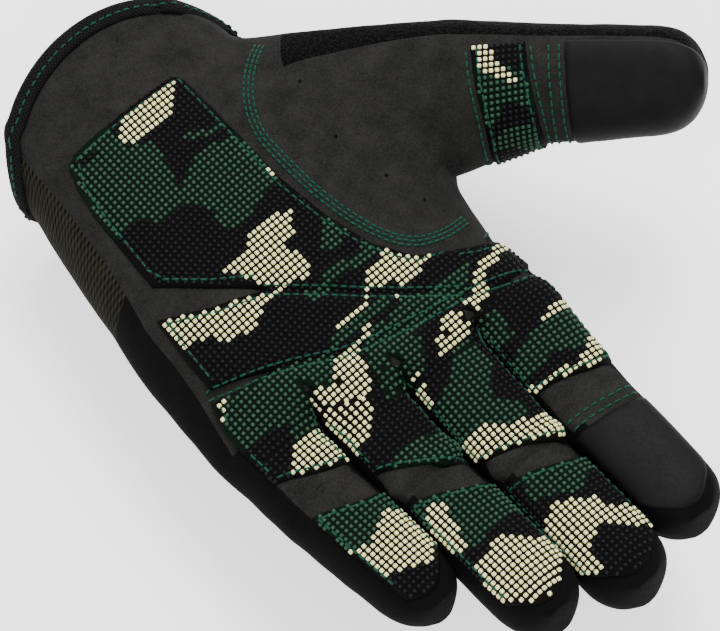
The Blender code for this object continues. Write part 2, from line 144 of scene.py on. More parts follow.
# Where each finger's patches start and end along it on the thumb's side, and how much sooner in their middle
LOWER_GRIP = {
    "index": (4.5, 38.0, -2.5),
    "middle": (-20, 47.5, -5.2),
    "ring": (-20, 42.0, -8.0),
    "little": (-20, 24.5, -5.2),
}
TIP_PATCH = {"index": (51.0, -0.8), "middle": (54.0, -3.6), "ring": (50.0, -5.2), "little": (37.0, -4.5)}
GRIP_EDGES = {"index": (23, 156), "middle": (23, 156), "ring": (33, 156), "little": (46, 156)}
TIP_MARGIN = 3.0  # from a finger's tip patch to the end of its tip
THUMB_BAND = (5.5, 20.5)  # start and end along the thumb
THUMB_PAD_START = 31.5
THUMB_EDGES = (6, 145)
BAND_SLANT = 2.6
PAD_SLANT = 0.8
PAD_OVERRUN = 9  # of the thumb's pad beyond its tip
TIP_CURVE = 5.0  # how far a tip patch's end falls back at its sides
TIP_CURVE_SHAPE = (50, 2.5)  # degrees from the middle at which the curve is whole, and its power
PATCH_LOOKS = {"grip": (1.0, 1.4), "band": (0.8, 1.2), "index": (0.8, 2.2), "thumb": (0.8, 2.0)}  # rise, roll
SINK = 0.35  # of a patch's edge into the skin

DOT_MARGIN = 0.9  # from a patch's edge to its first dots
DOT_PITCH = 1.6
DOT_HALVES = (0.48, 0.50, 0.60)  # by colour
DOT_HEIGHT = 0.42
DOT_PROFILE = ((1.0, -0.25), (0.92, 0.55), (0.55, 0.95))  # shares of the half width and of the height
DOT_SIDES = 8
LATTICE = ((-52, 46), (4, 125))  # spans in x and y of the palm's lattice of dots
RAY_START = 90.0  # rays are cast at the hand from this far
DIGIT_RAY_START = 60  # and at a digit from this far off its axis
RAY_REACH = 9  # rays at a digit start to tilt this far from its tip
RAY_TILT = (7, 80)  # degrees for each millimetre, and at most
SIZE_REACH = 4  # and take its size no nearer to the tip than this
STITCH_PROFILE = ((-1, 0.25), (-0.86, 0.75), (-0.5, 1), (0.5, 1), (0.86, 0.75), (1, 0.25))  # along, thickness
STITCH_SIDES = 6
STITCH_LOOK_AHEAD = 0.6  # a stitch points at the place this far along its row
WEB_LINE = ((-51, 107), (-26.7, 110.4), (-2.8, 108.0), (19.2, 98.1), (45, 97))
PALM_LATTICE_REACH = 6.0  # beyond the web line, on all the fingers but the index
LATTICE_GAP = 0.6  # between the palm's lattice and a finger's
CLOTH_RADIUS = 10.5  # of the roll that a digit's patch is laid flat from
PALM_SIDE = 0.5  # the palm's grip is cut from what lies above this height
OUTSIDE = -9.0  # a field's value where there is no patch

# Edges of the palm's grip that are sewn, each run so that the patch is on its left
GRIP_EDGE_LINES = (
    ((-35, 92), (-27, 88), (-20, 78), (-16, 65), (-13.5, 50), (-12, 8)),
    ((-12, 8), (27, 8)),
    ((27, 8), (29.5, 16), (31, 25), (32, 50), (22, 60), (10.5, 70)),
    ((10.5, 70), (24, 64.5), (37, 57)),
    ((37, 57), (38, 68), (38.5, 80.5)),
    ((40.5, 83), (43, 92)),
    ((-51, 97.5), (-42, 95), (-35, 92)),
)
STITCH_INSET = 2.1  # from a patch's edge

# Binding, lining and wrist tab. The profile is (outwards, along the glove) from the opening's edge.
BINDING_PROFILE = (
    (0.1, 5.0), (1.1, 4.7), (1.6, 3.6), (1.7, 1.8), (1.5, 0.4), (0.7, -0.5), (-0.4, -0.6), (-1.4, 0.1),
    (-1.9, 1.4), (-2.0, 3.2), (-1.2, 4.4), (-0.5, 4.4),
)
HEM_STITCH = (1.75, 2.9, 1.9, 0.3)  # outwards, along the glove, length and radius
HEM_STITCH_PITCH = 2.7
LINING_DEPTH = 1.5
TAB_X = (-24, 19)
TAB_Y = (9, 33)
TAB_GRID = (30, 18)  # points across and along each layer
HOLE_RADIUS = 0.55  # of the small holes in the palm
HOLE_SIDES = 12

# Curves on the palm, as (x, y)
THENAR_SEAM = (
    (-46, 87), (-38, 88), (-28, 85), (-22, 75), (-18, 60), (-17, 45), (-17, 35), (-22, 25), (-30, 17.5),
    (-36, 14),
)
HEEL_QUILT = ((11, 70), (0, 79), (-10, 88), (-20, 96), (-30, 103))
KNUCKLE_QUILT = ((40, 81), (31, 84.5), (22, 88), (13, 92.5), (5, 97), (-12, 101.5), (-28, 104), (-50, 109))
SEAM_TO_WRIST = ((33.5, -8), (34, 15), (36, 45), (39, 54))
GRIP_OUTLINE = (
    (-12, 11), (-11.2, 8.9), (-9, 8), (24, 8), (26.6, 8.8), (27.8, 11), (29.5, 16), (31, 25), (32, 50),
    (22, 60), (10.5, 70), (24, 64.5), (37, 57), (38, 68), (38.5, 80.5), (30, 84.2), (23, 87.6), (31, 86.2),
    (40.5, 83), (43, 92), (44.5, 125), (30, 125), (22.5, 108), (19.5, 95.5), (15.5, 108), (12, 125), (4, 125),
    (0.3, 112), (-2.8, 105), (-6.2, 112), (-10, 125), (-18, 125), (-23.5, 114), (-26.7, 107.5), (-29, 111),
    (-37, 109), (-52, 107), (-52, 97), (-42, 95), (-35, 92), (-27, 88), (-20, 78), (-16, 65), (-13.5, 50),
)
PERFORATIONS = ((-35, 32), (-32, 50), (-36, 66), (-40.5, 76.5))

# Folds on the palm, as a line, how many times its corners are cut, a width and a height
PALM_FOLDS = (
    (THENAR_SEAM, 3, 2.4, 0.8),
    (HEEL_QUILT, 0, 2.0, -1.0),
    (KNUCKLE_QUILT, 0, 2.0, -1.1),
    (SEAM_TO_WRIST, 0, 1.6, -0.5),
)
RELIEF = ((0.16, 26, 3), (0.07, 9, 5))  # height, pitch and seed of the skin's unevenness
# Folds on the digits: places along them and angles round them
THUMB_FOLDS = (
    ((-6, 40), (-2, 110), 3.2, -0.9),
    ((2, 30), (4, 95), 3.0, 0.6),
    ((-20, 25), (-12, 70), 4.0, 0.7),
    ((-9, 10), (-6, 75), 5.0, -1.2),
    ((-16, 80), (10, 95), 6.0, 0.8),
    ((26, 50), (27, 120), 1.8, -0.5),
)
FINGER_FOLDS = {
    "index": (
        (((2.2, 35), (2.6, 90), (3.4, 145)), 1.8, -1.0),
        (((38, 45), (37.5, 90), (38, 135)), 1.8, -0.7),
        (((42.5, 50), (42, 90), (43, 130)), 1.5, -0.5),
        (((40, 60), (40.2, 90), (40, 120)), 1.5, 0.4),
    ),
    "middle": (
        (((42.5, 40), (41.5, 90), (42.5, 140)), 2.8, 1.3),
        (((46.5, 40), (46, 90), (46.5, 140)), 1.6, -1.2),
    ),
    "ring": (
        (((34, 40), (33.5, 90), (34, 140)), 2.6, 1.2),
        (((38.2, 40), (38, 90), (38.2, 140)), 1.7, -1.2),
    ),
    "little": (
        (((26, 45), (25.5, 90), (26, 135)), 1.8, -0.8),
        (((29.5, 50), (29, 90), (29.5, 130)), 1.6, -0.5),
    ),
}

# Camouflage, in the plan of the glove: 0 black, 1 green, 2 cream. Later areas lie over earlier ones.
BLACK, GREEN, CREAM = range(3)
CAMO_WANDER = (0.9, 9)  # height and pitch
CAMO_SEEDS = (11, 12)
PALM_CAMO = (
    (GREEN, ((-14, 49), (7, 53), (7, 45), (9, 40), (20, 38), (24, 34), (32, 33), (30, 8), (12, 6), (13, 17),
             (7, 20), (7, 28), (10, 34), (0, 31), (-14, 31))),
    (GREEN, ((-13, 27), (0, 25), (0, 27.5), (-13, 29.5))),
    (GREEN, ((-16, 65), (-8, 71), (-12, 74), (-17, 71))),
    (GREEN, ((-20, 77), (2, 77), (4, 80), (-20, 80.5))),
    (GREEN, ((-12, 91.5), (4, 91), (12, 94.5), (2, 95), (-12, 94.5))),
    (GREEN, ((-38, 98), (-12, 96), (0, 97), (2, 106), (-12, 104.5), (-30, 104.5))),
    (GREEN, ((-12, 105), (2, 103), (6, 113), (-8, 114))),
    (GREEN, ((8, 94), (20, 89), (46, 83), (46, 108), (24, 107), (12, 101))),
    (BLACK, ((19, 11), (26, 10.5), (26, 12.2), (19, 12.6))),
    (CREAM, ((-12, 8), (-3, 7), (4, 8), (12, 13), (12, 18), (5, 18), (-3, 17), (-7, 12))),
    (CREAM, ((-14, 45.5), (-11, 46), (-11.5, 48.5), (-14, 48.5))),
    (CREAM, ((-10, 58), (-5, 56.5), (3, 57), (8, 59), (17, 60), (12, 66), (10, 70), (4, 73), (-2, 74),
             (-4, 70), (-1, 66.5), (-4, 64))),
    (CREAM, ((10, 71), (-2, 71), (0, 76), (4, 73), (12, 74), (18, 76), (26, 76), (30, 70), (38, 68), (38, 59),
             (32, 60), (20, 67))),
    (CREAM, ((-34, 91), (-27, 92), (-20, 94), (-13, 95), (-20, 91), (-10, 88), (-14, 84), (-20, 81),
             (-26, 87))),
    (CREAM, ((-10, 88.5), (3, 90), (3, 91.8), (-10, 90.2))),
    (CREAM, ((-6, 94.5), (1, 96), (1, 97.8), (-6, 96.5))),
    (CREAM, ((-52, 96), (-40, 99.5), (-33, 103), (-35, 104.5), (-52, 99))),
    (CREAM, ((-37, 104.5), (-30, 105.5), (-23, 106), (-15, 108), (-13, 113), (-21, 117), (-27, 111),
             (-34, 109))),
    (CREAM, ((0, 97), (10, 96), (14, 101), (20, 104), (22, 117), (15, 117), (10, 112), (4, 105), (2, 100))),
    (CREAM, ((24, 117), (37, 111), (33, 107), (25, 106))),
    (CREAM, ((36, 84), (44, 83), (45, 91), (39, 87))),
)
# Camouflage on each finger: places across it, from its thumb side, and along it
FINGER_CAMO = {
    "index": (
        (GREEN, ((5, 9), (12, 8), (12, 17), (6, 17))),
        (GREEN, ((-13, 18), (-3, 19), (5, 20), (12, 22), (12, 29), (4, 28), (-4, 30), (-13, 34))),
        (GREEN, ((-13, 32), (-8, 33), (-9, 40), (-13, 40))),
        (CREAM, ((-13, 14.5), (-6, 15.5), (-2, 17), (-3, 19), (-13, 18.5))),
        (CREAM, ((-12, 28), (-8, 27.5), (-6, 32), (0, 33), (12, 29.5), (12, 32), (0, 36.5), (-9, 36))),
    ),
    "middle": (
        (GREEN, ((-9, 8), (0, 10), (3, 16), (12, 19), (13, 32), (0, 34), (-8, 36), (-9, 31), (-3, 27),
                 (-9, 18))),
        (GREEN, ((4, 26), (12, 28), (12, 36), (6, 35))),
        (CREAM, ((7, 9), (13, 8), (13, 19), (9, 17))),
        (CREAM, ((13, 29), (5, 30), (0, 33), (-6, 36), (-13, 37), (-13, 48), (0, 48), (13, 42))),
        (GREEN, ((-12, 47), (4, 48), (8, 56), (-3, 62), (-12, 58))),
        (CREAM, ((13, 63), (13, 84), (7, 85), (4, 75), (-2, 73), (-8, 79), (-14, 81), (-13, 74), (-5, 66),
                 (3, 61))),
    ),
    "ring": (
        (CREAM, ((2, 2), (12, 0), (12, 20), (8, 17), (3, 11))),
        (GREEN, ((-12, 28), (3, 27), (11, 30), (11, 38), (-12, 38))),
        (GREEN, ((-12, 40), (9, 40), (11, 58), (3, 64), (-6, 60), (-12, 62))),
        (CREAM, ((3, 46), (8, 45), (12, 58), (7, 61), (4, 54))),
        (CREAM, ((-11, 71), (-3, 66), (9, 66), (11, 84), (0, 92), (-9, 88), (-12, 80))),
    ),
    "little": (
        (BLACK, ((-6, 6), (2, 3), (9, 3), (9, 13), (5, 19), (0, 14))),
        (CREAM, ((-13, 11), (-5, 10), (0, 12), (3, 16), (2, 22), (-13, 26))),
        (GREEN, ((-12, 30), (12, 30), (12, 42), (2, 46), (-6, 42), (-12, 46))),
        (CREAM, ((-12, 45), (-5, 41), (2, 46), (12, 41), (12, 53), (4, 57), (-5, 60), (-12, 57))),
    ),
    "thumb": (
        (GREEN, ((-16, 6), (14, 6), (8, 12), (2, 16), (6, 24), (-4, 24), (-8, 15))),
        (GREEN, ((10, 14), (16, 10), (16, 23), (9, 23))),
        (CREAM, ((-17, 5), (-8, 6), (-4, 12), (-2, 19), (-6, 17), (-10, 12), (-17, 11))),
    ),
}

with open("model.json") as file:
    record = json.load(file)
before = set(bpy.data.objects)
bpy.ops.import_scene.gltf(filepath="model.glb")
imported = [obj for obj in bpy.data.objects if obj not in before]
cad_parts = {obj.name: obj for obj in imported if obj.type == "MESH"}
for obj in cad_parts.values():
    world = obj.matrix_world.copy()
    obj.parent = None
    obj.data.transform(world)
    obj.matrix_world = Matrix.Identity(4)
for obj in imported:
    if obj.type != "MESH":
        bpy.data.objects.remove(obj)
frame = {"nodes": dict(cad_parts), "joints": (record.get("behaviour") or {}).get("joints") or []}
cad_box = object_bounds()


# Shapes


def superellipse(degrees, half_width, half_height, roundness):
    radians = np.radians(degrees)
    c, s = np.cos(radians), np.sin(radians)
    power = 2 / roundness
    return np.sign(c) * np.abs(c) ** power * half_width, np.sign(s) * np.abs(s) ** power * half_height


def hand_size(y):
    """Middle x, half width, height above and depth below at y."""
    left, right, top, bottom = (np.interp(y, HAND_STATIONS[:, 0], HAND_STATIONS[:, k]) for k in (1, 2, 3, 4))
    return (left + right) / 2, (right - left) / 2, top, -bottom


def on_hand(x, y, palm=True):
    middle, half_width, above, below = hand_size(y)
    share = min(abs(x - middle) / half_width, 1.0)
    rise = (1 - share**HAND_ROUNDNESS) ** (1 / HAND_ROUNDNESS)
    return np.array((x, y, rise * above if palm else -rise * below))


def hem_y(degrees):
    sharpness = np.interp(degrees, (0, 180), HEM_SHARPNESS)
    return -HEM_BULGE * max(0.0, math.sin(math.radians(degrees))) ** sharpness


def smoothstep(value, start, end):
    t = np.clip((np.asarray(value, float) - start) / (end - start), 0, 1)
    return t * t * (3 - 2 * t)


def resample(points, count):
    """count points at equal spacing along a polyline, ends included."""
    points = np.array(points, float)
    run = np.concatenate([[0], np.cumsum(np.linalg.norm(np.diff(points, axis=0), axis=1))])
    at = np.linspace(0, run[-1], count)
    return np.column_stack([np.interp(at, run, points[:, k]) for k in range(points.shape[1])])


def rounded(points, rounds=3):
    """A polyline with its corners cut, so that it reads as a curve."""
    points = np.array(points, float)
    for _ in range(rounds):
        near, far = points[:-1], points[1:]
        cut = np.stack([near * 0.75 + far * 0.25, near * 0.25 + far * 0.75], axis=1)
        cut = cut.reshape(-1, points.shape[1])
        points = np.concatenate([points[:1], cut[1:-1], points[-1:]])
    return points


class Digit:
    """A finger or the thumb, read from its two CAD joints. v is the distance along it from its base hinge."""

    def __init__(self, name):
        self.name = name
        self.is_thumb = name == "thumb"
        base = joint(f"{name}_base_bend" if self.is_thumb else f"{name}_knuckle_bend")
        middle = joint(f"{name}_middle_bend")
        self.base, self.middle = (np.array(j["pos_m"]) / MM for j in (base, middle))
        across = np.array(base["axis"], float)
        self.near = axes(across, self.middle - self.base)
        self.far = axes(across, tip_of(name, self.middle) - self.middle)
        self.length = np.linalg.norm(self.middle - self.base)
        tip = (tip_of(name, self.middle) - self.middle) @ self.far[1]
        self.total = self.length + tip
        self.places = (0, self.length, self.total)
        *self.sides, height = SIZES[name]
        self.heights = [height * share for share in HEIGHT_SHARES]
        self.zones()

    def zones(self):
        """Where the cloth bends at each joint, and where the piece before and the piece after meet."""
        if self.is_thumb:
            self.split = THUMB_SPLIT
            direction = THUMB_ZONE_DIRECTION / np.linalg.norm(THUMB_ZONE_DIRECTION)
            self.base_zone = [self.base + direction * d for d in THUMB_ZONE]
            self.middle_zone = [self.place(v, 0, 0) for v in THUMB_MIDDLE_ZONE]
            return
        start, end = KNUCKLE_ZONE[self.name]
        reach = MIDDLE_REACH[self.name]
        self.split = (end + self.length - reach) / 2
        self.base_zone = [self.base + self.near[1] * d for d in (start, end)]
        self.middle_zone = [self.middle + self.far[1] * d for d in (-reach, reach)]

    def beyond(self, v):
        """How far a place belongs to the part beyond the middle joint, 0 to 1."""
        return smoothstep(v, self.length - JOINT_EASE, self.length + JOINT_EASE)

    def part(self, v):
        return "near" if v <= self.split + 0.01 else "far"

    def place(self, v, x, z):
        """The point at v along, x across and z towards the pad."""
        near = self.base + self.near[0] * x + self.near[1] * v + self.near[2] * z
        far = self.middle + self.far[0] * x + self.far[1] * (v - self.length) + self.far[2] * z
        share = self.beyond(v)
        return near * (1 - share) + far * share

    def locate(self, points):
        """(x, v, z) of each point, the reverse of place."""
        near = (points - self.base) @ self.near.T
        far = (points - self.middle) @ self.far.T + np.array((0, self.length, 0))
        share = self.beyond((near[:, 1] + far[:, 1]) / 2)[:, None]
        return near * (1 - share) + far * share

    def middle_x(self, v):
        """x of the middle of the outline, at one or more places along."""
        near, far = (np.interp(v, self.places, side) for side in self.sides)
        web = THUMB_WEB * np.clip(1 - v / self.length, 0, 1) if self.is_thumb else 0.0
        return (far - near) / 2 + web

    def size(self, v):
        """Middle x, half width and half height at v. They round off towards the tip."""
        width = float(np.interp(v, self.places, np.mean(self.sides, axis=0)))
        height = float(np.interp(v, self.places, self.heights))
        rounding = min(max((v - self.total + TIP_ROUND) / TIP_ROUND, 0.0), 1.0)
        arc = (1 - rounding ** TIP_ARC[0]) ** TIP_ARC[1]
        return float(self.middle_x(v)), width * arc, height * (TIP_HEIGHTS[0] + TIP_HEIGHTS[1] * arc)

    def outline(self, v, degrees):
        middle, width, height = self.size(v)
        x, z = superellipse(degrees, width, height, DIGIT_ROUNDNESS)
        return self.place(v, middle + x, z)


def joint(name):
    return next(j for j in frame["joints"] if j["name"] == name)


def axes(across, along):
    """Rows: across, along and towards the pad."""
    along = along / np.linalg.norm(along)
    across = across - along * (across @ along)
    across = across / np.linalg.norm(across)
    return np.array((across, along, np.cross(across, along)))


def tip_of(name, middle):
    """The end of a digit's axis, from the CAD nodes beyond its middle joint."""
    starts = (f"{name}_tip", f"{name}_touch")
    nodes = [obj for node, obj in sorted(frame["nodes"].items()) if node.startswith(starts)]
    points = np.array([v.co for node in nodes for v in node.data.vertices]) / MM
    far = np.linalg.norm(points - middle, axis=1)
    return points[far > far.max() - 1.2].mean(axis=0)


# The cage


class Cage:
    def __init__(self):
        self.points, self.faces, self.labels, self.corners = [], [], [], []

    def add(self, point):
        self.points.append(np.array(point, float))
        return len(self.points) - 1

    def face(self, loop, label, corners):
        self.faces.append(loop)
        self.labels.append(label)
        self.corners.append(corners)

    def strip(self, near, far, labels, v_near, v_far, width):
        """Quads between two rings of the same count, wound so that they face outwards."""
        count = len(near)
        for i in range(count):
            k = (i + 1) % count
            u, w = i * width, (i + 1) * width
            loop = (near[i], far[i], far[k], near[k])
            self.face(loop, labels(i), ((u, v_near), (u, v_far), (w, v_far), (w, v_near)))


def hand_column_x(column, share):
    """x of a palm column at a share of the way from the hem to the webs."""
    xs = [hem + (web - hem) * share for hem, (web, _) in zip(HEM_X, WEB_ENDS)]
    xs[0] = float(np.interp(share, *SIDE_SEAM))
    return float(np.interp(column, WEB_COLUMNS, xs))


def web_y(column):
    ys = [y for _, y in (LITTLE_EDGE, *WEB_ENDS, INDEX_EDGE)]
    return float(np.interp(column, (0, *WEB_COLUMNS, THUMB_COLUMN), ys))


def hand_vertex(column, share):
    """A point of the hand's cage. Columns go round from the little finger's side over the palm."""
    palm = column <= THUMB_COLUMN
    side = column if palm else HAND_COLUMNS - column
    if side in (0, THUMB_COLUMN):
        end = web_y(side)
        middle, half_width, _, _ = hand_size(end * share)
        x = middle + half_width * (1 if side == 0 else -1)
        return np.array((x, end * share, 0.0))
    x = hand_column_x(side, share)
    middle, half_width, _, _ = hand_size(0)
    turn = math.degrees(math.acos(max(-1, min(1, (hand_column_x(side, 0) - middle) / half_width))))
    start = hem_y(turn) if palm else 0.0
    y = start + (web_y(side) - start) * share
    return on_hand(x, y, palm)


def relaxed(grid, fixed):
    """The hand's grid of points with the free ones eased between their neighbours over the surface."""
    flat = grid[:, :, :2].copy()
    for _ in range(EASE_ROUNDS):
        eased = flat.copy()
        before, after = (np.roll(flat, shift, axis=1)[1:-1] for shift in (1, -1))
        eased[1:-1] = (flat[:-2] + flat[2:] + before + after) / 4
        flat[~fixed] = eased[~fixed]
    for row in range(grid.shape[0]):
        for column in range(grid.shape[1]):
            if not fixed[row, column]:
                grid[row, column] = on_hand(*flat[row, column], palm=column <= THUMB_COLUMN)
    return grid


def thumb_loop(grid, fixed):
    """Moves the block's edge to the thumb's root, and returns it as (row, column), from its top outer corner
    over the palm to the bottom and back behind the hand."""
    low, high = BLOCK_ROWS
    first, last = BLOCK_COLUMNS
    palm = [(high, c) for c in range(THUMB_COLUMN - 1, first - 1, -1)]
    palm += [(r, first) for r in range(high - 1, low, -1)]
    palm += [(low, c) for c in range(first, THUMB_COLUMN)]
    back = [(low, c) for c in range(THUMB_COLUMN + 1, last + 1)]
    back += [(r, last) for r in range(low + 1, high)]
    back += [(high, c) for c in range(last, THUMB_COLUMN, -1)]
    for chain, points, is_palm in ((palm, PALM_LOOP, True), (back, BACK_LOOP, False)):
        for place, (x, y) in zip(chain, resample(rounded(points), len(chain))):
            grid[place] = on_hand(x, y, is_palm)
    grid[high, THUMB_COLUMN] = (*LOOP_TOP, 0)
    grid[low, THUMB_COLUMN] = (*LOOP_BOTTOM, 0)
    loop = [(high, THUMB_COLUMN), *palm, (low, THUMB_COLUMN), *back]
    for place in loop:
        fixed[place] = True
    return loop, len(palm), len(back)


def hand_label(row, column):
    if column in (0, HAND_COLUMNS - 1):
        return "hand olive" if HAND_ROWS[row] < OLIVE_END else "hand stretch"
    if column < THUMB_COLUMN - 1:
        return "hand suede"
    if column <= THUMB_COLUMN:
        return "hand stretch" if row >= BLOCK_ROWS[1] else "hand suede"
    return "hand knit"


def build_hand(cage):
    """The hand's rows, and what the digits grow from: each finger's first ring, and the thumb's."""
    rows = len(HAND_ROWS)
    grid = np.array([[hand_vertex(c, share) for c in range(HAND_COLUMNS)] for share in HAND_ROWS])
    fixed = np.zeros((rows, HAND_COLUMNS), bool)
    fixed[[0, -1]] = True
    fixed[:, [0, 1, THUMB_COLUMN, HAND_COLUMNS - 1]] = True
    for r in range(1, BLOCK_ROWS[0]):
        y = LOOP_BOTTOM[1] * r / BLOCK_ROWS[0]
        x = np.interp(y, (0, LOOP_BOTTOM[1]), (grid[0, THUMB_COLUMN, 0], LOOP_BOTTOM[0]))
        grid[r, THUMB_COLUMN] = (x, y, 0)
    loop, on_palm, on_back = thumb_loop(grid, fixed)
    grid = relaxed(grid, fixed)
    index = np.full((rows, HAND_COLUMNS), -1)
    low, high = BLOCK_ROWS
    first, last = BLOCK_COLUMNS
    for r in range(rows):
        for c in range(HAND_COLUMNS):
            if not (low < r < high and first < c < last):
                index[r, c] = cage.add(grid[r, c])
    for r in range(rows - 1):
        for c in range(HAND_COLUMNS):
            k = (c + 1) % HAND_COLUMNS
            if low <= r < high and first <= c < last:
                continue
            u, w = c * HAND_CLOTH, (c + 1) * HAND_CLOTH
            v, t = (HAND_ROWS[row] * HAND_CLOTH_LENGTH for row in (r, r + 1))
            quad = (index[r, c], index[r + 1, c], index[r + 1, k], index[r, k])
            cage.face(quad, hand_label(r, c), ((u, v), (u, t), (w, t), (w, v)))
    webs = {name: cage.add((x, y - 1.0, 0)) for name, (x, y) in WEBS.items()}
    starts = {}
    for i, name in enumerate(FINGER_NAMES):
        first_side = index[-1, 0] if i == 0 else webs[name]
        last_side = webs[FINGER_NAMES[i + 1]] if i < 3 else index[-1, THUMB_COLUMN]
        palm = [index[-1, c] for c in range(1 + 4 * i, 6 + 4 * i)]
        back = [index[-1, HAND_COLUMNS - c] for c in range(5 + 4 * i, 4 * i, -1)]
        starts[name] = [first_side, *palm, last_side, *back]
    starts["thumb"] = [index[place] for place in loop]
    return starts, on_palm, on_back


def ring_places(first, digit):
    """Places along a digit for its cage's rings, with one at its split and more of them round the tip."""
    near = np.linspace(first, digit.split, max(2, round((digit.split - first) / FINGER_RINGS[0]) + 1))
    straight_end = digit.total - TIP_ROUND
    far = np.linspace(digit.split, straight_end, round((straight_end - digit.split) / FINGER_RINGS[1]) + 1)
    tip = [straight_end + TIP_ROUND * math.sin(math.radians(a)) for a in TIP_RINGS]
    return [*near, *far[1:], *tip]


def build_finger(cage, digit, ring):
    name = digit.name
    before = KNUCKLE_ZONE[name][0]
    start, slant = TIP_PATCH[name]
    angles = list(FINGER_ANGLES)
    angles[2] = max(angles[2], GRIP_EDGES[name][0] - 2)
    for v in ring_places(before + FIRST_RING, digit):
        group = digit.part(v)
        tip = v > digit.total - TIP_ROUND
        edge = 1 if name == "little" or v > start + 2 * slant + TIP_WALL else 0

        def label(i):
            if tip or i in (0, edge, 5, 6, 11) or (i == 4 and v > start + TIP_WALL):
                return f"{name}_{group} stretch"
            return f"{name}_{group} {'suede' if i < 5 else 'knit'}"

        after = [cage.add(digit.outline(v, a)) for a in angles]
        cage.strip(ring, after, label, before, v, FINGER_CLOTH)
        ring, before = after, v
    close_tip(cage, ring, f"{name}_far stretch", before)


def close_tip(cage, ring, label, v):
    turns = np.linspace(0, 2 * math.pi, len(ring) + 1)[:-1]
    cage.face(tuple(reversed(ring)), label, tuple((6 + math.cos(a), v + math.sin(a)) for a in turns))


def build_thumb(cage, digit, ring, on_palm, on_back):
    """The thumb's root, curved from the loop on the hand to its base hinge, and the thumb beyond it."""
    palm = np.linspace(0, 180, on_palm + 2)
    back = np.linspace(180, 360, on_back + 2)[1:-1]
    angles = [*palm, *back]
    root = [cage.points[i] for i in ring]
    before = -float(ROOT_CLOTH)

    def label_for(group, terry_edge=TERRY_EDGE):
        terry_from = np.searchsorted(angles, terry_edge)

        def label(i):
            return f"thumb_{group} {'terry' if i >= terry_from else 'suede'}"

        return label

    for share in ROOT_RINGS:
        after = []
        for start, angle in zip(root, angles):
            lead = ROOT_LEAD[0] + ROOT_LEAD[1] * (1 - math.cos(math.radians(angle))) / 2
            end = digit.outline(0, angle)
            bend = end - digit.near[1] * lead
            point = start * (1 - share) ** 2 + bend * 2 * share * (1 - share) + end * share**2
            after.append(cage.add(point))
        v = -ROOT_CLOTH * (1 - share)
        terry_edge = ROOT_TERRY_EDGE if share == ROOT_RINGS[0] else TERRY_EDGE
        cage.strip(ring, after, label_for("near", terry_edge), before, v, THUMB_CLOTH)
        ring, before = after, v
    for v in ring_places(5.0, digit):
        after = [cage.add(digit.outline(v, a)) for a in angles]
        cage.strip(ring, after, label_for(digit.part(v)), before, v, THUMB_CLOTH)
        ring, before = after, v
    close_tip(cage, ring, "thumb_far terry", before)


def fitted(cage):
    """Cage points moved until the smooth surface passes through the places that they were given."""
    wanted = np.array(cage.points)
    points = wanted.copy()
    for _ in range(3):
        points += wanted - subdivided(cage, points, 2)[0][: len(points)]
    return points


def subdivided(cage, cage_points, levels):
    """The cage's smooth surface as arrays: points, quads, a label number for each quad and a corner's UV."""
    names = sorted(set(cage.labels))
    mesh = new_mesh("cage", cage_points, cage.faces)
    mesh.polygons.foreach_set("material_index", [names.index(label) for label in cage.labels])
    uvs = mesh.uv_layers.new(name="cloth")
    uvs.data.foreach_set("uv", [x for corners in cage.corners for corner in corners for x in corner])
    for name in names:
        mesh.materials.append(None)
    obj = added("cage", mesh)
    smooth = obj.modifiers.new("smooth", "SUBSURF")
    smooth.levels = smooth.render_levels = levels
    smooth.boundary_smooth = "ALL"
    smooth.uv_smooth = "NONE"
    made = obj.evaluated_get(bpy.context.evaluated_depsgraph_get()).to_mesh()
    points = np.empty(len(made.vertices) * 3)
    made.vertices.foreach_get("co", points)
    quads = np.empty(len(made.loops), int)
    made.loops.foreach_get("vertex_index", quads)
    labels = np.empty(len(made.polygons), int)
    made.polygons.foreach_get("material_index", labels)
    uv = np.empty(len(made.loops) * 2)
    made.uv_layers["cloth"].data.foreach_get("uv", uv)
    bpy.data.objects.remove(obj)
    return points.reshape(-1, 3), quads.reshape(-1, 4), labels, uv.reshape(-1, 4, 2), names


def new_mesh(name, points, faces):
    mesh = bpy.data.meshes.new(name)
    mesh.from_pydata([Vector(p) for p in points], [], [tuple(map(int, face)) for face in faces])
    return mesh


def added(name, data):
    """A new object in the scene."""
    obj = bpy.data.objects.new(name, data)
    bpy.context.scene.collection.objects.link(obj)
    return obj


# Relief: folds and soft unevenness, in the direction of the skin's normals


def vertex_normals(points, faces):
    """Unit normals of a mesh of triangles or quads."""
    corners = points[faces]
    across = corners[:, 2] - corners[:, 0]
    other = corners[:, -1] - corners[:, 1] if faces.shape[1] == 4 else corners[:, 1] - corners[:, 0]
    flat = np.cross(across, other) if faces.shape[1] == 4 else np.cross(other, across)
    normals = np.zeros_like(points)
    for k in range(faces.shape[1]):
        np.add.at(normals, faces[:, k], flat)
    return normals / np.maximum(np.linalg.norm(normals, axis=1, keepdims=True), 1e-9)


def distance_to_segment(points, start, end):
    run = end - start
    share = np.clip(((points - start) @ run) / (run @ run), 0, 1)
    return np.linalg.norm(points - start - share[:, None] * run, axis=1)


def distance_to_line(points, line):
    """Distance of each point to a polyline."""
    return np.min([distance_to_segment(points, a, b) for a, b in zip(line, line[1:])], axis=0)


def digit_line(digit, line):
    """Points on a digit's outline, from pairs of place along and angle round."""
    return np.array([digit.outline(v, a) for v, a in line])


def waves(points, pitch, seed):
    """Smooth noise in -1 to 1, as a sum of sine waves in fixed directions."""
    chance = np.random.default_rng(seed)
    total = np.zeros(len(points))
    for _ in range(7):
        way = chance.normal(size=3)
        way /= np.linalg.norm(way)
        turns = 2 * math.pi / (pitch * chance.uniform(0.7, 1.6))
        total += np.sin(points @ way * turns + chance.uniform(0, 6.3))
    return total / 4


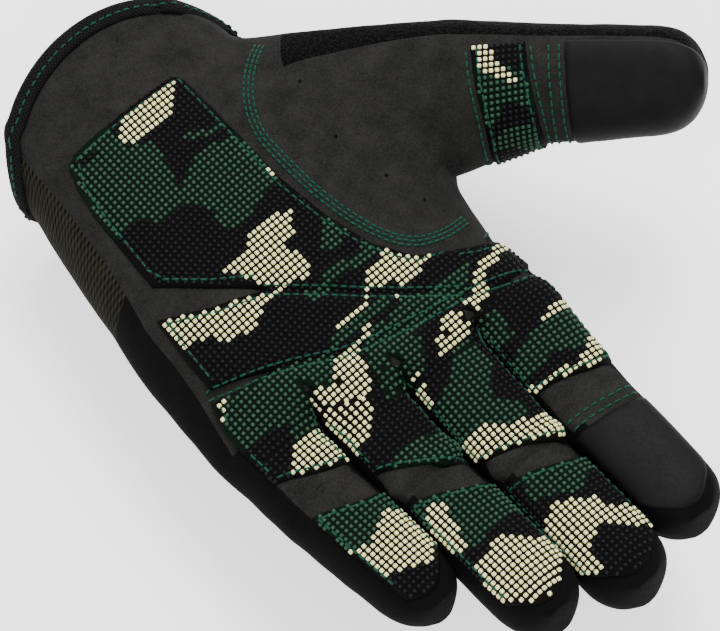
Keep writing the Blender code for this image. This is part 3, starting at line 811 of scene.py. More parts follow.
def relief(points):
    """How far the skin stands out at each point."""
    rise = sum(height * waves(points, pitch, seed) for height, pitch, seed in RELIEF)
    for line, width, height in folds():
        rise += height * np.exp(-((distance_to_line(points, line) / width) ** 2))
    return rise


def folds():
    """Folds and creases as (line, width, height)."""
    found = []
    for line, rounds, width, height in PALM_FOLDS:
        on_palm = np.array([on_hand(x, y) for x, y in rounded(line, rounds)])
        found.append((on_palm, width, height))
    thumb = DIGITS["thumb"]
    for start, end, width, height in THUMB_FOLDS:
        found.append((digit_line(thumb, rounded((start, end), 1)), width, height))
    for name, lines in FINGER_FOLDS.items():
        for line, width, height in lines:
            found.append((digit_line(DIGITS[name], line), width, height))
    return found


# Fields: how far inside a patch's outline each point is, negative outside


def inside_polygon(x, y, outline):
    """Signed distance to a polygon, positive inside."""
    points = np.column_stack([x, y, np.zeros_like(x)])
    ring = np.array([(*p, 0.0) for p in (*outline, outline[0])])
    distance = distance_to_line(points, ring)
    inside = np.zeros(len(points), bool)
    for (ax, ay, _), (bx, by, _) in zip(ring, ring[1:]):
        if ay == by:
            continue
        crosses = (ay > y) != (by > y)
        inside ^= crosses & (x < (bx - ax) * (y - ay) / (by - ay) + ax)
    return np.where(inside, distance, -distance)


def digit_field(digit, start, end, edges, curve=0.0, slants=(0.0, 0.0)):
    """A patch on a digit's pad from start to end along it, between two angles. curve rounds its far end. The
    slants are how much further along its two ends are in the middle than on the side towards the thumb."""

    def field(points):
        x, v, z = digit.locate(points).T
        x = x - digit.middle_x(v)
        turn = np.degrees(np.arctan2(z, x))
        radius = np.hypot(x, z)
        low = np.radians(turn - edges[0]) * radius
        high = np.radians(edges[1] - turn) * radius
        starts, ends = (place + slant * (1 + x / radius) for place, slant in zip((start, end), slants))
        ends = ends - curve * (np.abs(turn - 90) / TIP_CURVE_SHAPE[0]) ** TIP_CURVE_SHAPE[1]
        return np.minimum.reduce([low, high, v - starts, ends - v])

    return field


# Cutting patches from the skin


def triangles_of(quads):
    return np.concatenate([quads[:, [0, 1, 2]], quads[:, [0, 2, 3]]])


def clipped(points, normals, faces, field):
    """The part of a triangle mesh where field is positive, as (points, normals, field, faces)."""
    inside = field[faces] > 0
    whole = faces[inside.all(axis=1)]
    mixed = faces[inside.any(axis=1) & ~inside.all(axis=1)]
    data = np.column_stack([points, normals, field])
    extra, made, new = {}, [], []

    def crossing(a, b):
        key = (min(a, b), max(a, b))
        if key not in extra:
            share = field[a] / (field[a] - field[b])
            extra[key] = len(data) + len(made)
            made.append(data[a] + (data[b] - data[a]) * share)
        return extra[key]

    for face in mixed:
        loop = []
        for a, b in zip(face, np.roll(face, -1)):
            if field[a] > 0:
                loop.append(a)
            if (field[a] > 0) != (field[b] > 0):
                loop.append(crossing(a, b))
        new += [(loop[0], loop[i], loop[i + 1]) for i in range(1, len(loop) - 1)]
    data = np.concatenate([data, np.array(made).reshape(-1, 7)])
    faces = np.concatenate([whole, np.array(new, int).reshape(-1, 3)])
    used, faces = np.unique(faces, return_inverse=True)
    data = data[used]
    return data[:, :3], data[:, 3:6], data[:, 6], faces.reshape(-1, 3)


def raised(points, normals, field, thickness, roll):
    """A patch lifted off the skin, with an edge that rolls over and sinks into it."""
    share = np.clip(field / roll, 0, 1)
    lift = -SINK + (thickness + SINK) * np.sqrt(1 - (1 - share) ** 2)
    return points + normals * lift[:, None]


def camo(x, y, areas, base):
    """The colour at each place of a plan, over a base colour. The outlines wander by about a millimetre."""
    points = np.column_stack([x, y, np.zeros_like(x)])
    height, pitch = CAMO_WANDER
    x, y = (plan + height * waves(points, pitch, seed) for plan, seed in zip((x, y), CAMO_SEEDS))
    colour = np.zeros(len(x), int) + base
    for kind, outline in areas:
        colour[inside_polygon(x, y, outline) > 0] = kind
    return colour


# Materials. Each reads a piece's cloth coordinates and its place at rest, both in millimetres.


class Shader:
    """A Principled material and the nodes that feed it."""

    def __init__(self, name, roughness, **inputs):
        self.material = bpy.data.materials.new(name)
        self.material.use_nodes = True
        self.tree = self.material.node_tree
        self.surface = self.tree.nodes["Principled BSDF"]
        self.surface.inputs["Roughness"].default_value = roughness
        self.surface.inputs["Metallic"].default_value = 0
        for label, value in inputs.items():
            self.surface.inputs[label.replace("_", " ")].default_value = value

    def node(self, kind, inputs=(), **settings):
        made = self.tree.nodes.new(f"ShaderNode{kind}")
        for name, value in settings.items():
            setattr(made, name, value)
        for socket, value in dict(inputs).items():
            if isinstance(value, bpy.types.NodeSocket):
                self.tree.links.new(value, made.inputs[socket])
            else:
                made.inputs[socket].default_value = value
        return made

    def rest(self):
        return self.node("Attribute", attribute_name="rest").outputs["Vector"]

    def cloth(self):
        return self.node("UVMap", uv_map="cloth").outputs["UV"]

    def noise(self, size, detail=3.0, roughness=0.55):
        inputs = {"Vector": self.rest(), "Scale": 1 / size, "Detail": detail, "Roughness": roughness}
        return self.node("TexNoise", inputs).outputs["Fac"]

    def math(self, operation, a, b=0.0):
        return self.node("Math", {0: a, 1: b}, operation=operation).outputs[0]

    def ramp(self, value, low, high, to_low=0.0, to_high=1.0):
        inputs = {"Value": value, "From Min": low, "From Max": high, "To Min": to_low, "To Max": to_high}
        return self.node("MapRange", inputs).outputs["Result"]

    def mix(self, share, a, b):
        made = self.node("Mix", {0: share}, data_type="RGBA")
        for socket, value in ((made.inputs[6], a), (made.inputs[7], b)):
            if isinstance(value, bpy.types.NodeSocket):
                self.tree.links.new(value, socket)
            else:
                socket.default_value = (*value, 1)
        return made.outputs[2]

    def weave(self, pitch):
        """Threads over and under each other, 0 in the gaps and 1 on top."""
        parts = self.node("SeparateXYZ", {0: self.cloth()})
        turn = 2 * math.pi / pitch
        along, across = (self.math("SINE", self.math("MULTIPLY", parts.outputs[k], turn)) for k in (0, 1))
        return self.ramp(self.math("MULTIPLY", along, across), -1, 1)

    def colour(self, value):
        self.tree.links.new(value, self.surface.inputs["Base Color"])

    def shades(self, value, low, high, first, second):
        """Colours from first to second as value goes from low to high."""
        self.colour(self.mix(self.ramp(value, low, high), first, second))

    def blend(self, a, share_a, b):
        """a and b added together, in shares that make one."""
        return self.math("ADD", self.math("MULTIPLY", a, share_a), self.math("MULTIPLY", b, 1 - share_a))

    def rough(self, value):
        self.tree.links.new(value, self.surface.inputs["Roughness"])

    def bump(self, height, depth, before=None):
        inputs = {"Height": height, "Distance": depth * MM, "Strength": 1.0}
        if before:
            inputs["Normal"] = before
        made = self.node("Bump", inputs).outputs["Normal"]
        self.tree.links.new(made, self.surface.inputs["Normal"])
        return made


def suede(name, dark, light, grain):
    shader = Shader(name, 0.9, Specular_IOR_Level=0.06)
    mottle = shader.noise(7.0, 5.0, 0.6)
    fine = shader.noise(0.5, 4.0, 0.7)
    shader.shades(shader.blend(mottle, 0.35, fine), 0.32, 0.68, dark, light)
    first = shader.bump(shader.noise(2.2, 3.0), 0.35)
    shader.bump(fine, grain, first)
    return shader.material


def woven(name, dark, light, pitch, depth, roughness=0.9):
    shader = Shader(name, roughness, Specular_IOR_Level=0.06)
    threads = shader.weave(pitch)
    mottle = shader.noise(4.0, 3.0)
    shader.shades(shader.blend(threads, 0.65, mottle), 0.25, 0.75, dark, light)
    shader.bump(threads, depth)
    return shader.material


def terry_cloth():
    shader = Shader("terry", 0.95, Specular_IOR_Level=0.06)
    loops = shader.node("TexVoronoi", {"Vector": shader.rest(), "Scale": 1 / 0.9}).outputs["Distance"]
    shader.shades(loops, 0.1, 0.6, (0.007, 0.007, 0.008), (0.001, 0.001, 0.001))
    first = shader.bump(shader.noise(2.4, 2.0), 0.5)
    shader.bump(shader.ramp(loops, 0, 0.7, 1, 0), 0.5, first)
    return shader.material


def printed(name, roughness, weave_pitch=None):
    """Cloth or dots whose colour is in the mesh, with threads or a slight unevenness."""
    shader = Shader(name, roughness, Specular_IOR_Level=0.08)
    own = shader.node("Attribute", attribute_name="tint").outputs["Color"]
    if weave_pitch:
        threads = shader.weave(weave_pitch)
        shade = shader.ramp(threads, 0, 1, 0.55, 1.15)
        shader.bump(threads, 0.18)
    else:
        fine = shader.noise(1.6, 2.0)
        shade = shader.ramp(fine, 0.3, 0.7, 0.8, 1.12)
        shader.bump(fine, 0.12)
    grey = shader.node("CombineColor", {0: shade, 1: shade, 2: shade}).outputs[0]
    product = shader.node("Mix", {0: 1.0}, data_type="RGBA", blend_type="MULTIPLY")
    shader.tree.links.new(own, product.inputs[6])
    shader.tree.links.new(grey, product.inputs[7])
    shader.colour(product.outputs[2])
    return shader.material


def touch_leather():
    shader = Shader("touch", 0.6, Specular_IOR_Level=0.1)
    grain = shader.noise(0.8, 3.0, 0.6)
    shader.shades(shader.noise(6.0), 0.3, 0.7, (0.003, 0.003, 0.0035), (0.005, 0.005, 0.0055))
    shader.rough(shader.ramp(grain, 0.3, 0.7, 0.55, 0.66))
    shader.bump(grain, 0.06)
    return shader.material


def thread():
    shader = Shader("thread", 0.6, Specular_IOR_Level=0.15)
    twist = shader.noise(0.5, 2.0)
    shader.shades(twist, 0.3, 0.7, (0.002, 0.026, 0.015), (0.006, 0.072, 0.043))
    shader.bump(twist, 0.1)
    return shader.material


MATERIALS = {
    "suede": suede("suede", (0.004, 0.0039, 0.0037), (0.026, 0.0255, 0.0245), 0.12),
    "olive": woven("olive", (0.0015, 0.0015, 0.001), (0.022, 0.021, 0.013), 1.7, 0.2),
    "stretch": woven("stretch", (0.0012, 0.0012, 0.0012), (0.004, 0.004, 0.0045), 0.8, 0.08),
    "knit": woven("knit", (0.002, 0.002, 0.0014), (0.011, 0.010, 0.007), 1.1, 0.14),
    "terry": terry_cloth(),
    "grip": printed("grip", 0.8, 0.8),
    "dots": printed("dots", 0.55),
    "touch": touch_leather(),
    "thread": thread(),
    "binding": woven("binding", (0.002, 0.002, 0.002), (0.010, 0.010, 0.011), 1.2, 0.15),
    "hook": woven("hook", (0.002, 0.002, 0.002), (0.015, 0.015, 0.015), 1.6, 0.5),
    "lining": woven("lining", (0.003, 0.003, 0.003), (0.010, 0.010, 0.010), 1.4, 0.1),
}
CLOTH_TINTS = np.array(((0.0012, 0.0012, 0.0014), (0.0008, 0.006, 0.003), (0.002, 0.002, 0.0012)))
DOT_TINTS = np.array(((0.010, 0.009, 0.011), (0.030, 0.070, 0.044), (0.86, 0.84, 0.42)))


# Pieces

RIGID_GROUPS = {"hand": "root", "wrist_tab": "wrist_tab"}


def attach(obj, group):
    """Has a piece carried by its group's body if the group is rigid; any other piece only has its placement
    baked into its points.
    """
    if group in RIGID_GROUPS:
        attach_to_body(obj, RIGID_GROUPS[group])
        return
    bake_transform(obj)


def piece(name, group, look, points, faces, uv=None, tints=None, replaces=()):
    """An object from points in millimetres. uv has a pair for each corner, tints a colour for each point."""
    mesh = new_mesh(name, np.asarray(points) * MM, faces)
    mesh.materials.append(MATERIALS[look])
    mesh.shade_smooth()
    mesh.attributes.new("rest", "FLOAT_VECTOR", "POINT").data.foreach_set("vector", np.ravel(points))
    if uv is not None:
        mesh.uv_layers.new(name="cloth").data.foreach_set("uv", np.ravel(uv))
    if tints is not None:
        shades = np.column_stack([tints, np.ones(len(tints))])
        mesh.attributes.new("tint", "FLOAT_COLOR", "POINT").data.foreach_set("color", np.ravel(shades))
    obj = added(name, mesh)
    attach(obj, group)
    if replaces:
        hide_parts(*replaces)


SKIN_REPLACES = {
    "hand_suede": ("palm_panel",),
    "hand_knit": ("back_panel",),
    "hand_stretch": ("outer_side_panel",),
    "thumb_near_suede": ("thumb_root_front", "thumb_lower_front", "thumb_base_crease"),
    "thumb_near_terry": ("thumb_root_back", "thumb_lower_back"),
    "thumb_far_suede": ("thumb_middle_crease",),
    "thumb_far_terry": ("thumb_tip_back",),
}
for finger_name in FINGER_NAMES:
    SKIN_REPLACES |= {
        f"{finger_name}_near_suede": (f"{finger_name}_lower_front", f"{finger_name}_knuckle_crease"),
        f"{finger_name}_near_knit": (f"{finger_name}_lower_back",),
        f"{finger_name}_near_stretch": (f"{finger_name}_lower_wall_inner", f"{finger_name}_lower_wall_outer"),
        f"{finger_name}_far_suede": (f"{finger_name}_middle_crease",),
        f"{finger_name}_far_knit": (f"{finger_name}_tip_back",),
        f"{finger_name}_far_stretch": (f"{finger_name}_tip_wall",),
    }


class Skin:
    """The subdivided skin with its relief, and the surface of each group with the patches on it."""

    def __init__(self, cage, levels):
        self.points, self.quads, self.labels, self.uv, self.names = subdivided(cage, fitted(cage), levels)
        self.points += vertex_normals(self.points, self.quads) * relief(self.points)[:, None]
        self.normals = vertex_normals(self.points, self.quads)

    def build(self):
        for number, name in enumerate(self.names):
            quads = self.quads[self.labels == number]
            used, faces = np.unique(quads, return_inverse=True)
            group, look = name.rsplit(" ", 1)
            whole = f"{group}_{look}"
            uv = self.uv[self.labels == number]
            replaced = SKIN_REPLACES.get(whole, ())
            piece(whole, group, look, self.points[used], faces.reshape(-1, 4), uv, replaces=replaced)

    def part(self, group):
        """The quads of a group."""
        numbers = [i for i, name in enumerate(self.names) if name.rsplit(" ", 1)[0] == group]
        return self.quads[np.isin(self.labels, numbers)]


class Surface:
    """What rays are cast at: some groups of the skin, and the patches raised on them."""

    def __init__(self, skin, groups):
        self.parts = [(skin.points, np.concatenate([triangles_of(skin.part(g)) for g in groups]))]
        self.tree = None

    def cover(self, points, faces):
        self.parts.append((points, faces))
        self.tree = None

    def cast(self, start, way):
        """Where a ray meets the surface, as (point, normal), or None."""
        if self.tree is None:
            points, faces, count = [], [], 0
            for part_points, part_faces in self.parts:
                points.append(part_points)
                faces.append(part_faces + count)
                count += len(part_points)
            points, faces = (np.concatenate(part).tolist() for part in (points, faces))
            self.tree = BVHTree.FromPolygons(points, faces)
        point, normal, _, _ = self.tree.ray_cast(Vector(start), Vector(way))
        if point is None:
            return None
        normal = np.array(normal)
        return np.array(point), normal if normal @ way < 0 else -normal


class Palm:
    """Places on the palm, as (x, y)."""

    def __init__(self, skin, palm=True):
        self.surface = Surface(skin, ["hand", *(f"{name}_near" for name in DIGITS)] if palm else ["hand"])
        self.way = (0, 0, -1) if palm else (0, 0, 1)

    def at(self, x, y):
        return self.surface.cast((x, y, -RAY_START * self.way[2]), self.way)

    def group(self, x, y):
        return "hand"


class Round:
    """Places on a digit, as (degrees round, v along)."""

    def __init__(self, skin, digit):
        self.digit = digit
        groups = [f"{digit.name}_near", f"{digit.name}_far"]
        self.surface = Surface(skin, groups)

    def at(self, degrees, v):
        digit = self.digit
        middle, _, _ = digit.size(min(v, digit.total - SIZE_REACH))
        reach = digit.total - RAY_REACH
        centre = digit.place(min(v, reach), middle, 0)
        tilt = math.radians(min(max(v - reach, 0.0) * RAY_TILT[0], RAY_TILT[1]))
        x, z = math.cos(math.radians(degrees)), math.sin(math.radians(degrees))
        across = digit.place(min(v, reach), middle + x, z) - centre
        along = digit.far[1]
        way = across * math.cos(tilt) + along * math.sin(tilt)
        return self.surface.cast(centre + way * DIGIT_RAY_START, -way)

    def group(self, degrees, v):
        return f"{self.digit.name}_{'near' if v <= self.digit.split else 'far'}"


# Dots and stitches


def frame_on(normal, along):
    """Across, along and up at a place on the surface."""
    along = along - normal * (along @ normal)
    along = along / np.linalg.norm(along)
    return np.array((np.cross(along, normal), along, normal))


def rounded_dot(half, height):
    """A low dome on a rounded square."""
    points = []
    for share, rise in DOT_PROFILE:
        for i in range(DOT_SIDES):
            x, y = superellipse(i * 45 + 22.5, half * share, half * share, 4)
            points.append((float(x), float(y), height * rise))
    faces = []
    last = (len(DOT_PROFILE) - 1) * DOT_SIDES
    for near in range(0, last, DOT_SIDES):
        far = near + DOT_SIDES
        faces += [(near + i, near + k, far + k, far + i) for i, k in pairs_round(DOT_SIDES)]
    faces += [(last + i, last + k, len(points)) for i, k in pairs_round(DOT_SIDES)]
    return np.array([*points, (0, 0, height)]), faces


def pairs_round(count):
    """Each number of a ring with the one after it."""
    return [(i, (i + 1) % count) for i in range(count)]


def dash(length, radius):
    """One stitch: a short rod along y with round ends, half sunk."""
    points, faces = [], []
    for share, size in STITCH_PROFILE:
        rise = radius * (0.55 - 0.9 * abs(share) ** 3)
        for a in np.linspace(0, 2 * math.pi, STITCH_SIDES + 1)[:-1]:
            x, z = math.cos(a) * radius * size, math.sin(a) * radius * size
            points.append((x, share * length / 2, z + rise))
    for near in range(0, len(points) - STITCH_SIDES, STITCH_SIDES):
        far = near + STITCH_SIDES
        faces += [(near + i, far + i, far + k, near + k) for i, k in pairs_round(STITCH_SIDES)]
    return np.array(points), faces


def merged(parts):
    """Several shapes of (points, faces) as one."""
    points, faces, count = [], [], 0
    for part_points, part_faces in parts:
        points.append(part_points)
        faces += [tuple(i + count for i in face) for face in part_faces]
        count += len(part_points)
    return np.concatenate(points), faces


def scattered(shape, places):
    """Copies of a small shape, set on places of (point, axes)."""
    points, faces = shape
    return merged([(points @ turn + centre, faces) for centre, turn in places])


class Decoration:
    """Dots and stitches, gathered by group until they are made."""

    def __init__(self):
        self.dots, self.stitches = {}, {}

    def dot(self, centre, turn, group, colour):
        self.dots.setdefault(group, {}).setdefault(DOT_HALVES[colour], []).append((centre, turn, colour))

    def stitch(self, group, centre, turn, length, radius):
        self.stitches.setdefault(group, []).append((centre, turn, length, radius))

    def sew(self, where, line, pitch=2.5, length=2.1, radius=0.34):
        """Stitches along a line of places on a palm or a digit."""
        line = np.array(line, float)
        hits = [where.at(*place) for place in line]
        known = [(place, hit[0]) for place, hit in zip(line, hits) if hit is not None]
        if len(known) < 2:
            return
        places, points = (np.array(part) for part in zip(*known))
        run = np.concatenate([[0], np.cumsum(np.linalg.norm(np.diff(points, axis=0), axis=1))])
        count = max(1, round(run[-1] / pitch))
        for i in range(count):
            at = (i + 0.5) * run[-1] / count
            here, ahead = (
                [float(np.interp(s, run, places[:, k])) for k in (0, 1)]
                for s in (at, min(at + STITCH_LOOK_AHEAD, run[-1]))
            )
            first, second = where.at(*here), where.at(*ahead)
            if first is None or second is None or np.linalg.norm(second[0] - first[0]) < 1e-3:
                continue
            turn = frame_on(first[1], second[0] - first[0])
            self.stitch(where.group(*here), first[0], turn, length, radius)

    def make(self):
        for group, sizes in self.dots.items():
            parts, tints = [], []
            for half, places in sizes.items():
                shape = rounded_dot(half, DOT_HEIGHT)
                parts.append(scattered(shape, [(centre, turn) for centre, turn, _ in places]))
                colours = [colour for _, _, colour in places]
                tints.append(np.repeat(DOT_TINTS[colours], len(shape[0]), axis=0))
            piece(f"{group}_dots", group, "dots", *merged(parts), tints=np.concatenate(tints))
        for group, places in self.stitches.items():
            parts = [scattered(dash(*size), [(centre, turn)]) for centre, turn, *size in places]
            piece(f"{group}_stitches", group, "thread", *merged(parts))


def split_by_group(skin, groups, field, shape, surface):
    """A raised patch as one part for each group: (group, points, faces, points before they were raised)."""
    parts = []
    thickness, roll = PATCH_LOOKS[shape]
    for group in groups:
        triangles = triangles_of(skin.part(group))
        points, normals, inside, faces = clipped(skin.points, skin.normals, triangles, field)
        if len(faces) == 0:
            continue
        lifted = raised(points, normals, inside, thickness, roll)
        surface.cover(lifted, faces)
        parts.append((group, lifted, faces, points))
    return parts


def corner_uv(faces, u, v):
    return np.stack([u[faces], v[faces]], axis=-1)


def palm_outline(points):
    return inside_polygon(points[:, 0], points[:, 1], GRIP_OUTLINE)


def palm_camo(points):
    return camo(points[:, 0], points[:, 1], PALM_CAMO, BLACK)


def palm_grip(skin, palm, decoration):
    field = np.where(skin.points[:, 2] > PALM_SIDE, palm_outline(skin.points), OUTSIDE)
    [(group, points, faces, flat)] = split_by_group(skin, ["hand"], field, "grip", palm.surface)
    uv = corner_uv(faces, flat[:, 0], flat[:, 1])
    nodes = ("heel_grip", "middle_grip", "knuckle_grip")
    piece("palm_grip", group, "grip", points, faces, uv, CLOTH_TINTS[palm_camo(flat)], nodes)
    lattice_dots(palm.surface, -math.inf, 0, "hand", decoration, palm_outline, palm_camo)


def lattice_dots(surface, near, far, group, decoration, field, colours):
    """Dots of the palm's lattice, from near to far beyond the web line."""
    xs, ys = np.meshgrid(*(np.arange(*span, DOT_PITCH) for span in LATTICE))
    xs, ys = xs.ravel(), ys.ravel()
    beyond = ys - web_edge(xs)
    keep = (beyond >= near) & (beyond < far)
    hits = [surface.cast((x, y, RAY_START), (0, 0, -1)) for x, y in zip(xs[keep], ys[keep])]
    hits = [hit for hit in hits if hit]
    points = np.array([point for point, _ in hits])
    shades = colours(points)
    for i in np.flatnonzero(field(points) > DOT_MARGIN):
        decoration.dot(points[i], frame_on(hits[i][1], np.array((0, 1.0, 0))), group, shades[i])


def finger_start(x):
    """How far beyond the web line the palm's lattice of dots runs."""
    return np.where(x > WEBS["index"][0], PALM_LATTICE_REACH, 0.0)


def digit_patch(skin, where, name, look, field, shape="grip"):
    """A raised patch on a digit, named as its CAD node, in one part before the split and one beyond it."""
    digit = where.digit
    groups = [f"{digit.name}_near", f"{digit.name}_far"]
    made = split_by_group(skin, groups, field(skin.points), shape, where.surface)
    for i, (group, points, faces, flat) in enumerate(made):
        x, v, z = digit.locate(flat).T
        across = np.arctan2(z, x) * -CLOTH_RADIUS
        tints = CLOTH_TINTS[digit_camo(digit, flat)] if look == "grip" else None
        part = name if len(made) == 1 else f"{name}_{('lower', 'upper')[i]}"
        piece(part, group, look, points, faces, corner_uv(faces, across, v), tints, (name,) if i == 0 else ())


def digit_camo(digit, points):
    """The palm's camouflage carried on over the first part of a finger, with the finger's own over it."""
    x, v, _ = digit.locate(points).T
    base = camo(points[:, 0], points[:, 1], () if digit.is_thumb else PALM_CAMO, BLACK)
    return camo(x, v, FINGER_CAMO[digit.name], base)


def web_edge(x):
    """y of the line where the palm's piece ends and the fingers' pieces start."""
    return np.interp(x, *np.array(WEB_LINE).T)


def turns_across(digit, edges):
    """Angles round a digit between two edges, one dot's pitch apart on its surface."""
    _, width, height = digit.size(digit.length * 0.5)
    x, z = superellipse(np.linspace(1, 179, 179), width, height, DIGIT_ROUNDNESS)
    turn = np.degrees(np.arctan2(z, x))
    run = np.concatenate([[0], np.cumsum(np.hypot(np.diff(x), np.diff(z)))])
    first, last = np.interp(edges, turn, run)
    return np.interp(np.arange(first + 1.0, last - 0.5, DOT_PITCH), run, turn)


def digit_dots(where, start, end, edges, decoration, field):
    """The lattice of dots on a digit's patch."""
    digit = where.digit
    found, groups, ways = [], [], []
    for degrees in turns_across(digit, edges):
        for v in np.arange(start, end, DOT_PITCH):
            met = where.at(degrees, v)
            if met is not None:
                found.append(met)
                groups.append(where.group(degrees, v))
                ways.append(digit.near[1] if v < digit.length else digit.far[1])
    points = np.array([point for point, _ in found])
    keep = field(points) > DOT_MARGIN
    if not digit.is_thumb:
        keep &= points[:, 1] > web_edge(points[:, 0]) + finger_start(points[:, 0]) + LATTICE_GAP
    colours = digit_camo(digit, points)
    for i in np.flatnonzero(keep):
        decoration.dot(points[i], frame_on(found[i][1], ways[i]), groups[i], colours[i])


def across_digit(v, slant, edges, margin=9):
    """A line of (degrees, v) across a digit, parallel to a patch's end."""
    turns = np.linspace(edges[0] + margin, edges[1] - margin, 12)
    return [(a, v + slant * (1 + math.cos(math.radians(a)))) for a in turns]


def dress_finger(skin, digit, decoration):
    where = Round(skin, digit)
    name = digit.name
    edges = GRIP_EDGES[name]
    first, end, slant = LOWER_GRIP[name]
    lower = digit_field(digit, first, end, edges, slants=(slant, slant))
    digit_patch(skin, where, f"{name}_lower_grip", "grip", lower)
    start, tip_slant = TIP_PATCH[name]
    stop = digit.total - TIP_MARGIN
    tip = digit_field(digit, start, stop, edges, curve=TIP_CURVE, slants=(tip_slant, 0))
    if name == "index":
        digit_patch(skin, where, "index_touch_pad", "touch", tip, "index")
    else:
        digit_patch(skin, where, f"{name}_tip_grip", "grip", tip)
        digit_dots(where, start + 2 * tip_slant, stop + 4, edges, decoration, tip)
    digit_dots(where, -6, end, edges, decoration, lower)
    if name != "index":
        colours = functools.partial(digit_camo, digit)
        lattice_dots(where.surface, 0, PALM_LATTICE_REACH, f"{name}_near", decoration, lower, colours)
    decoration.sew(where, across_digit(end - 1.9, slant, edges))
    if name == "index":
        decoration.sew(where, across_digit(first + 1.6, slant, edges))
        for back in (0.0, 2.6):
            decoration.sew(where, across_digit(start - 1.5 - back, tip_slant, edges))
    else:
        decoration.sew(where, across_digit(start + 1.9, tip_slant, edges))
    for edge, share in ((edges[0] + 9, 2), (edges[1] - 9, 0)):
        low = max(first, KNUCKLE_ZONE[name][0]) + 3
        along = [(low, end + share * slant - 2)]
        if name != "index":
            along.append((start + share * tip_slant + 3, stop - 8))
        for span in along:
            decoration.sew(where, [(edge, v) for v in np.linspace(*span, 8)])


def dress_thumb(skin, digit, decoration):
    where = Round(skin, digit)
    band = digit_field(digit, *THUMB_BAND, THUMB_EDGES, slants=(BAND_SLANT, BAND_SLANT))
    digit_patch(skin, where, "thumb_band", "grip", band, "band")
    first, last = THUMB_BAND
    digit_dots(where, first, last + 3 * BAND_SLANT, (4, 152), decoration, band)
    pad = digit_field(digit, THUMB_PAD_START, digit.total + PAD_OVERRUN, THUMB_EDGES, slants=(PAD_SLANT, 0))
    digit_patch(skin, where, "thumb_touch_pad", "touch", pad, "thumb")
    rows = [(v, BAND_SLANT) for v in (first - 1.2, first + 1.7, last - 1.7, last + 1.2)]
    rows += [(THUMB_PAD_START - back, PAD_SLANT) for back in (1.3, 4.2)]
    for v, slant in rows:
        decoration.sew(where, across_digit(v, slant, THUMB_EDGES, 4))


def dress_palm(skin, palm, decoration):
    palm_grip(skin, palm, decoration)
    for line in GRIP_EDGE_LINES:
        decoration.sew(palm, inset(line))
    for line in (HEEL_QUILT, KNUCKLE_QUILT):
        for side in (-1.3, 1.3):
            decoration.sew(palm, beside(rounded(line), side))
    for side in (-1.2, 0, 1.2):
        decoration.sew(palm, beside(rounded(THENAR_SEAM), side), pitch=2.0, length=1.75)


def beside(line, distance):
    """A line moved sideways in its plane, to its left."""
    line = np.array(line, float)
    run = np.gradient(line, axis=0)
    run /= np.linalg.norm(run, axis=1, keepdims=True)
    return line + np.column_stack([-run[:, 1], run[:, 0]]) * distance


def inset(line):
    """A line moved inwards from a patch's edge, and shortened by as much at its ends."""
    line = np.array(line, float)
    way = (line[-1] - line[0]) / np.linalg.norm(line[-1] - line[0])
    short = np.concatenate([[line[0] + way * STITCH_INSET], line[1:-1], [line[-1] - way * STITCH_INSET]])
    return beside(resample(short, 12), STITCH_INSET)


def hem_ring(skin, decoration):
    """The binding round the wrist opening, with a row of stitches on it."""
    edge = hem_points(skin)
    count = len(edge)
    ahead = np.roll(edge, -1, axis=0) - np.roll(edge, 1, axis=0)
    ahead /= np.linalg.norm(ahead, axis=1, keepdims=True)
    into = np.array((0, 1.0, 0)) - ahead * ahead[:, 1:2]
    into /= np.linalg.norm(into, axis=1, keepdims=True)
    outward = np.cross(ahead, into)
    middle = edge.mean(axis=0)
    outward *= np.sign(((edge - middle) * outward).sum(axis=1))[:, None]
    points = np.concatenate([edge + outward * n + into * y for n, y in BINDING_PROFILE])
    faces = []
    for a, b in pairs_round(len(BINDING_PROFILE)):
        near, far = a * count, b * count
        faces += [(near + i, near + k, far + k, far + i) for i, k in pairs_round(count)]
    run = np.concatenate([[0], np.cumsum(np.linalg.norm(np.diff(edge, axis=0), axis=1))])
    u = np.tile(run, len(BINDING_PROFILE))
    v = np.repeat(np.arange(len(BINDING_PROFILE)) * 1.2, count)
    loops = np.array(faces)
    piece("hem_binding", "hand", "binding", points, loops, corner_uv(loops, u, v), replaces=("hem_binding",))
    out, along, length, radius = HEM_STITCH
    for at in np.arange(0, run[-1], run[-1] / round(run[-1] / HEM_STITCH_PITCH)):
        i = int(np.searchsorted(run, at)) % count
        centre = edge[i] + outward[i] * out + into[i] * along
        decoration.stitch("hand", centre, frame_on(outward[i], ahead[i]), length, radius)


def hem_points(skin):
    """The edge of the wrist opening, in order round it."""
    ends = np.sort(np.concatenate([skin.quads[:, [i, (i + 1) % 4]] for i in range(4)]), axis=1)
    edges, uses = np.unique(ends, axis=0, return_counts=True)
    links = {}
    for a, b in edges[uses == 1]:
        links.setdefault(int(a), []).append(int(b))
        links.setdefault(int(b), []).append(int(a))
    start = min(links)
    order = [start, links[start][0]]
    while True:
        following = [n for n in links[order[-1]] if n != order[-2]][0]
        if following == start:
            return skin.points[order]
        order.append(following)


def lining(skin):
    """The inside of the hand, seen through the wrist opening."""
    used, faces = np.unique(skin.part("hand"), return_inverse=True)
    faces = faces.reshape(-1, 4)[:, ::-1]
    points = skin.points[used] - skin.normals[used] * LINING_DEPTH
    piece("hand_lining", "hand", "lining", points, faces, corner_uv(faces, points[:, 0], points[:, 1]))


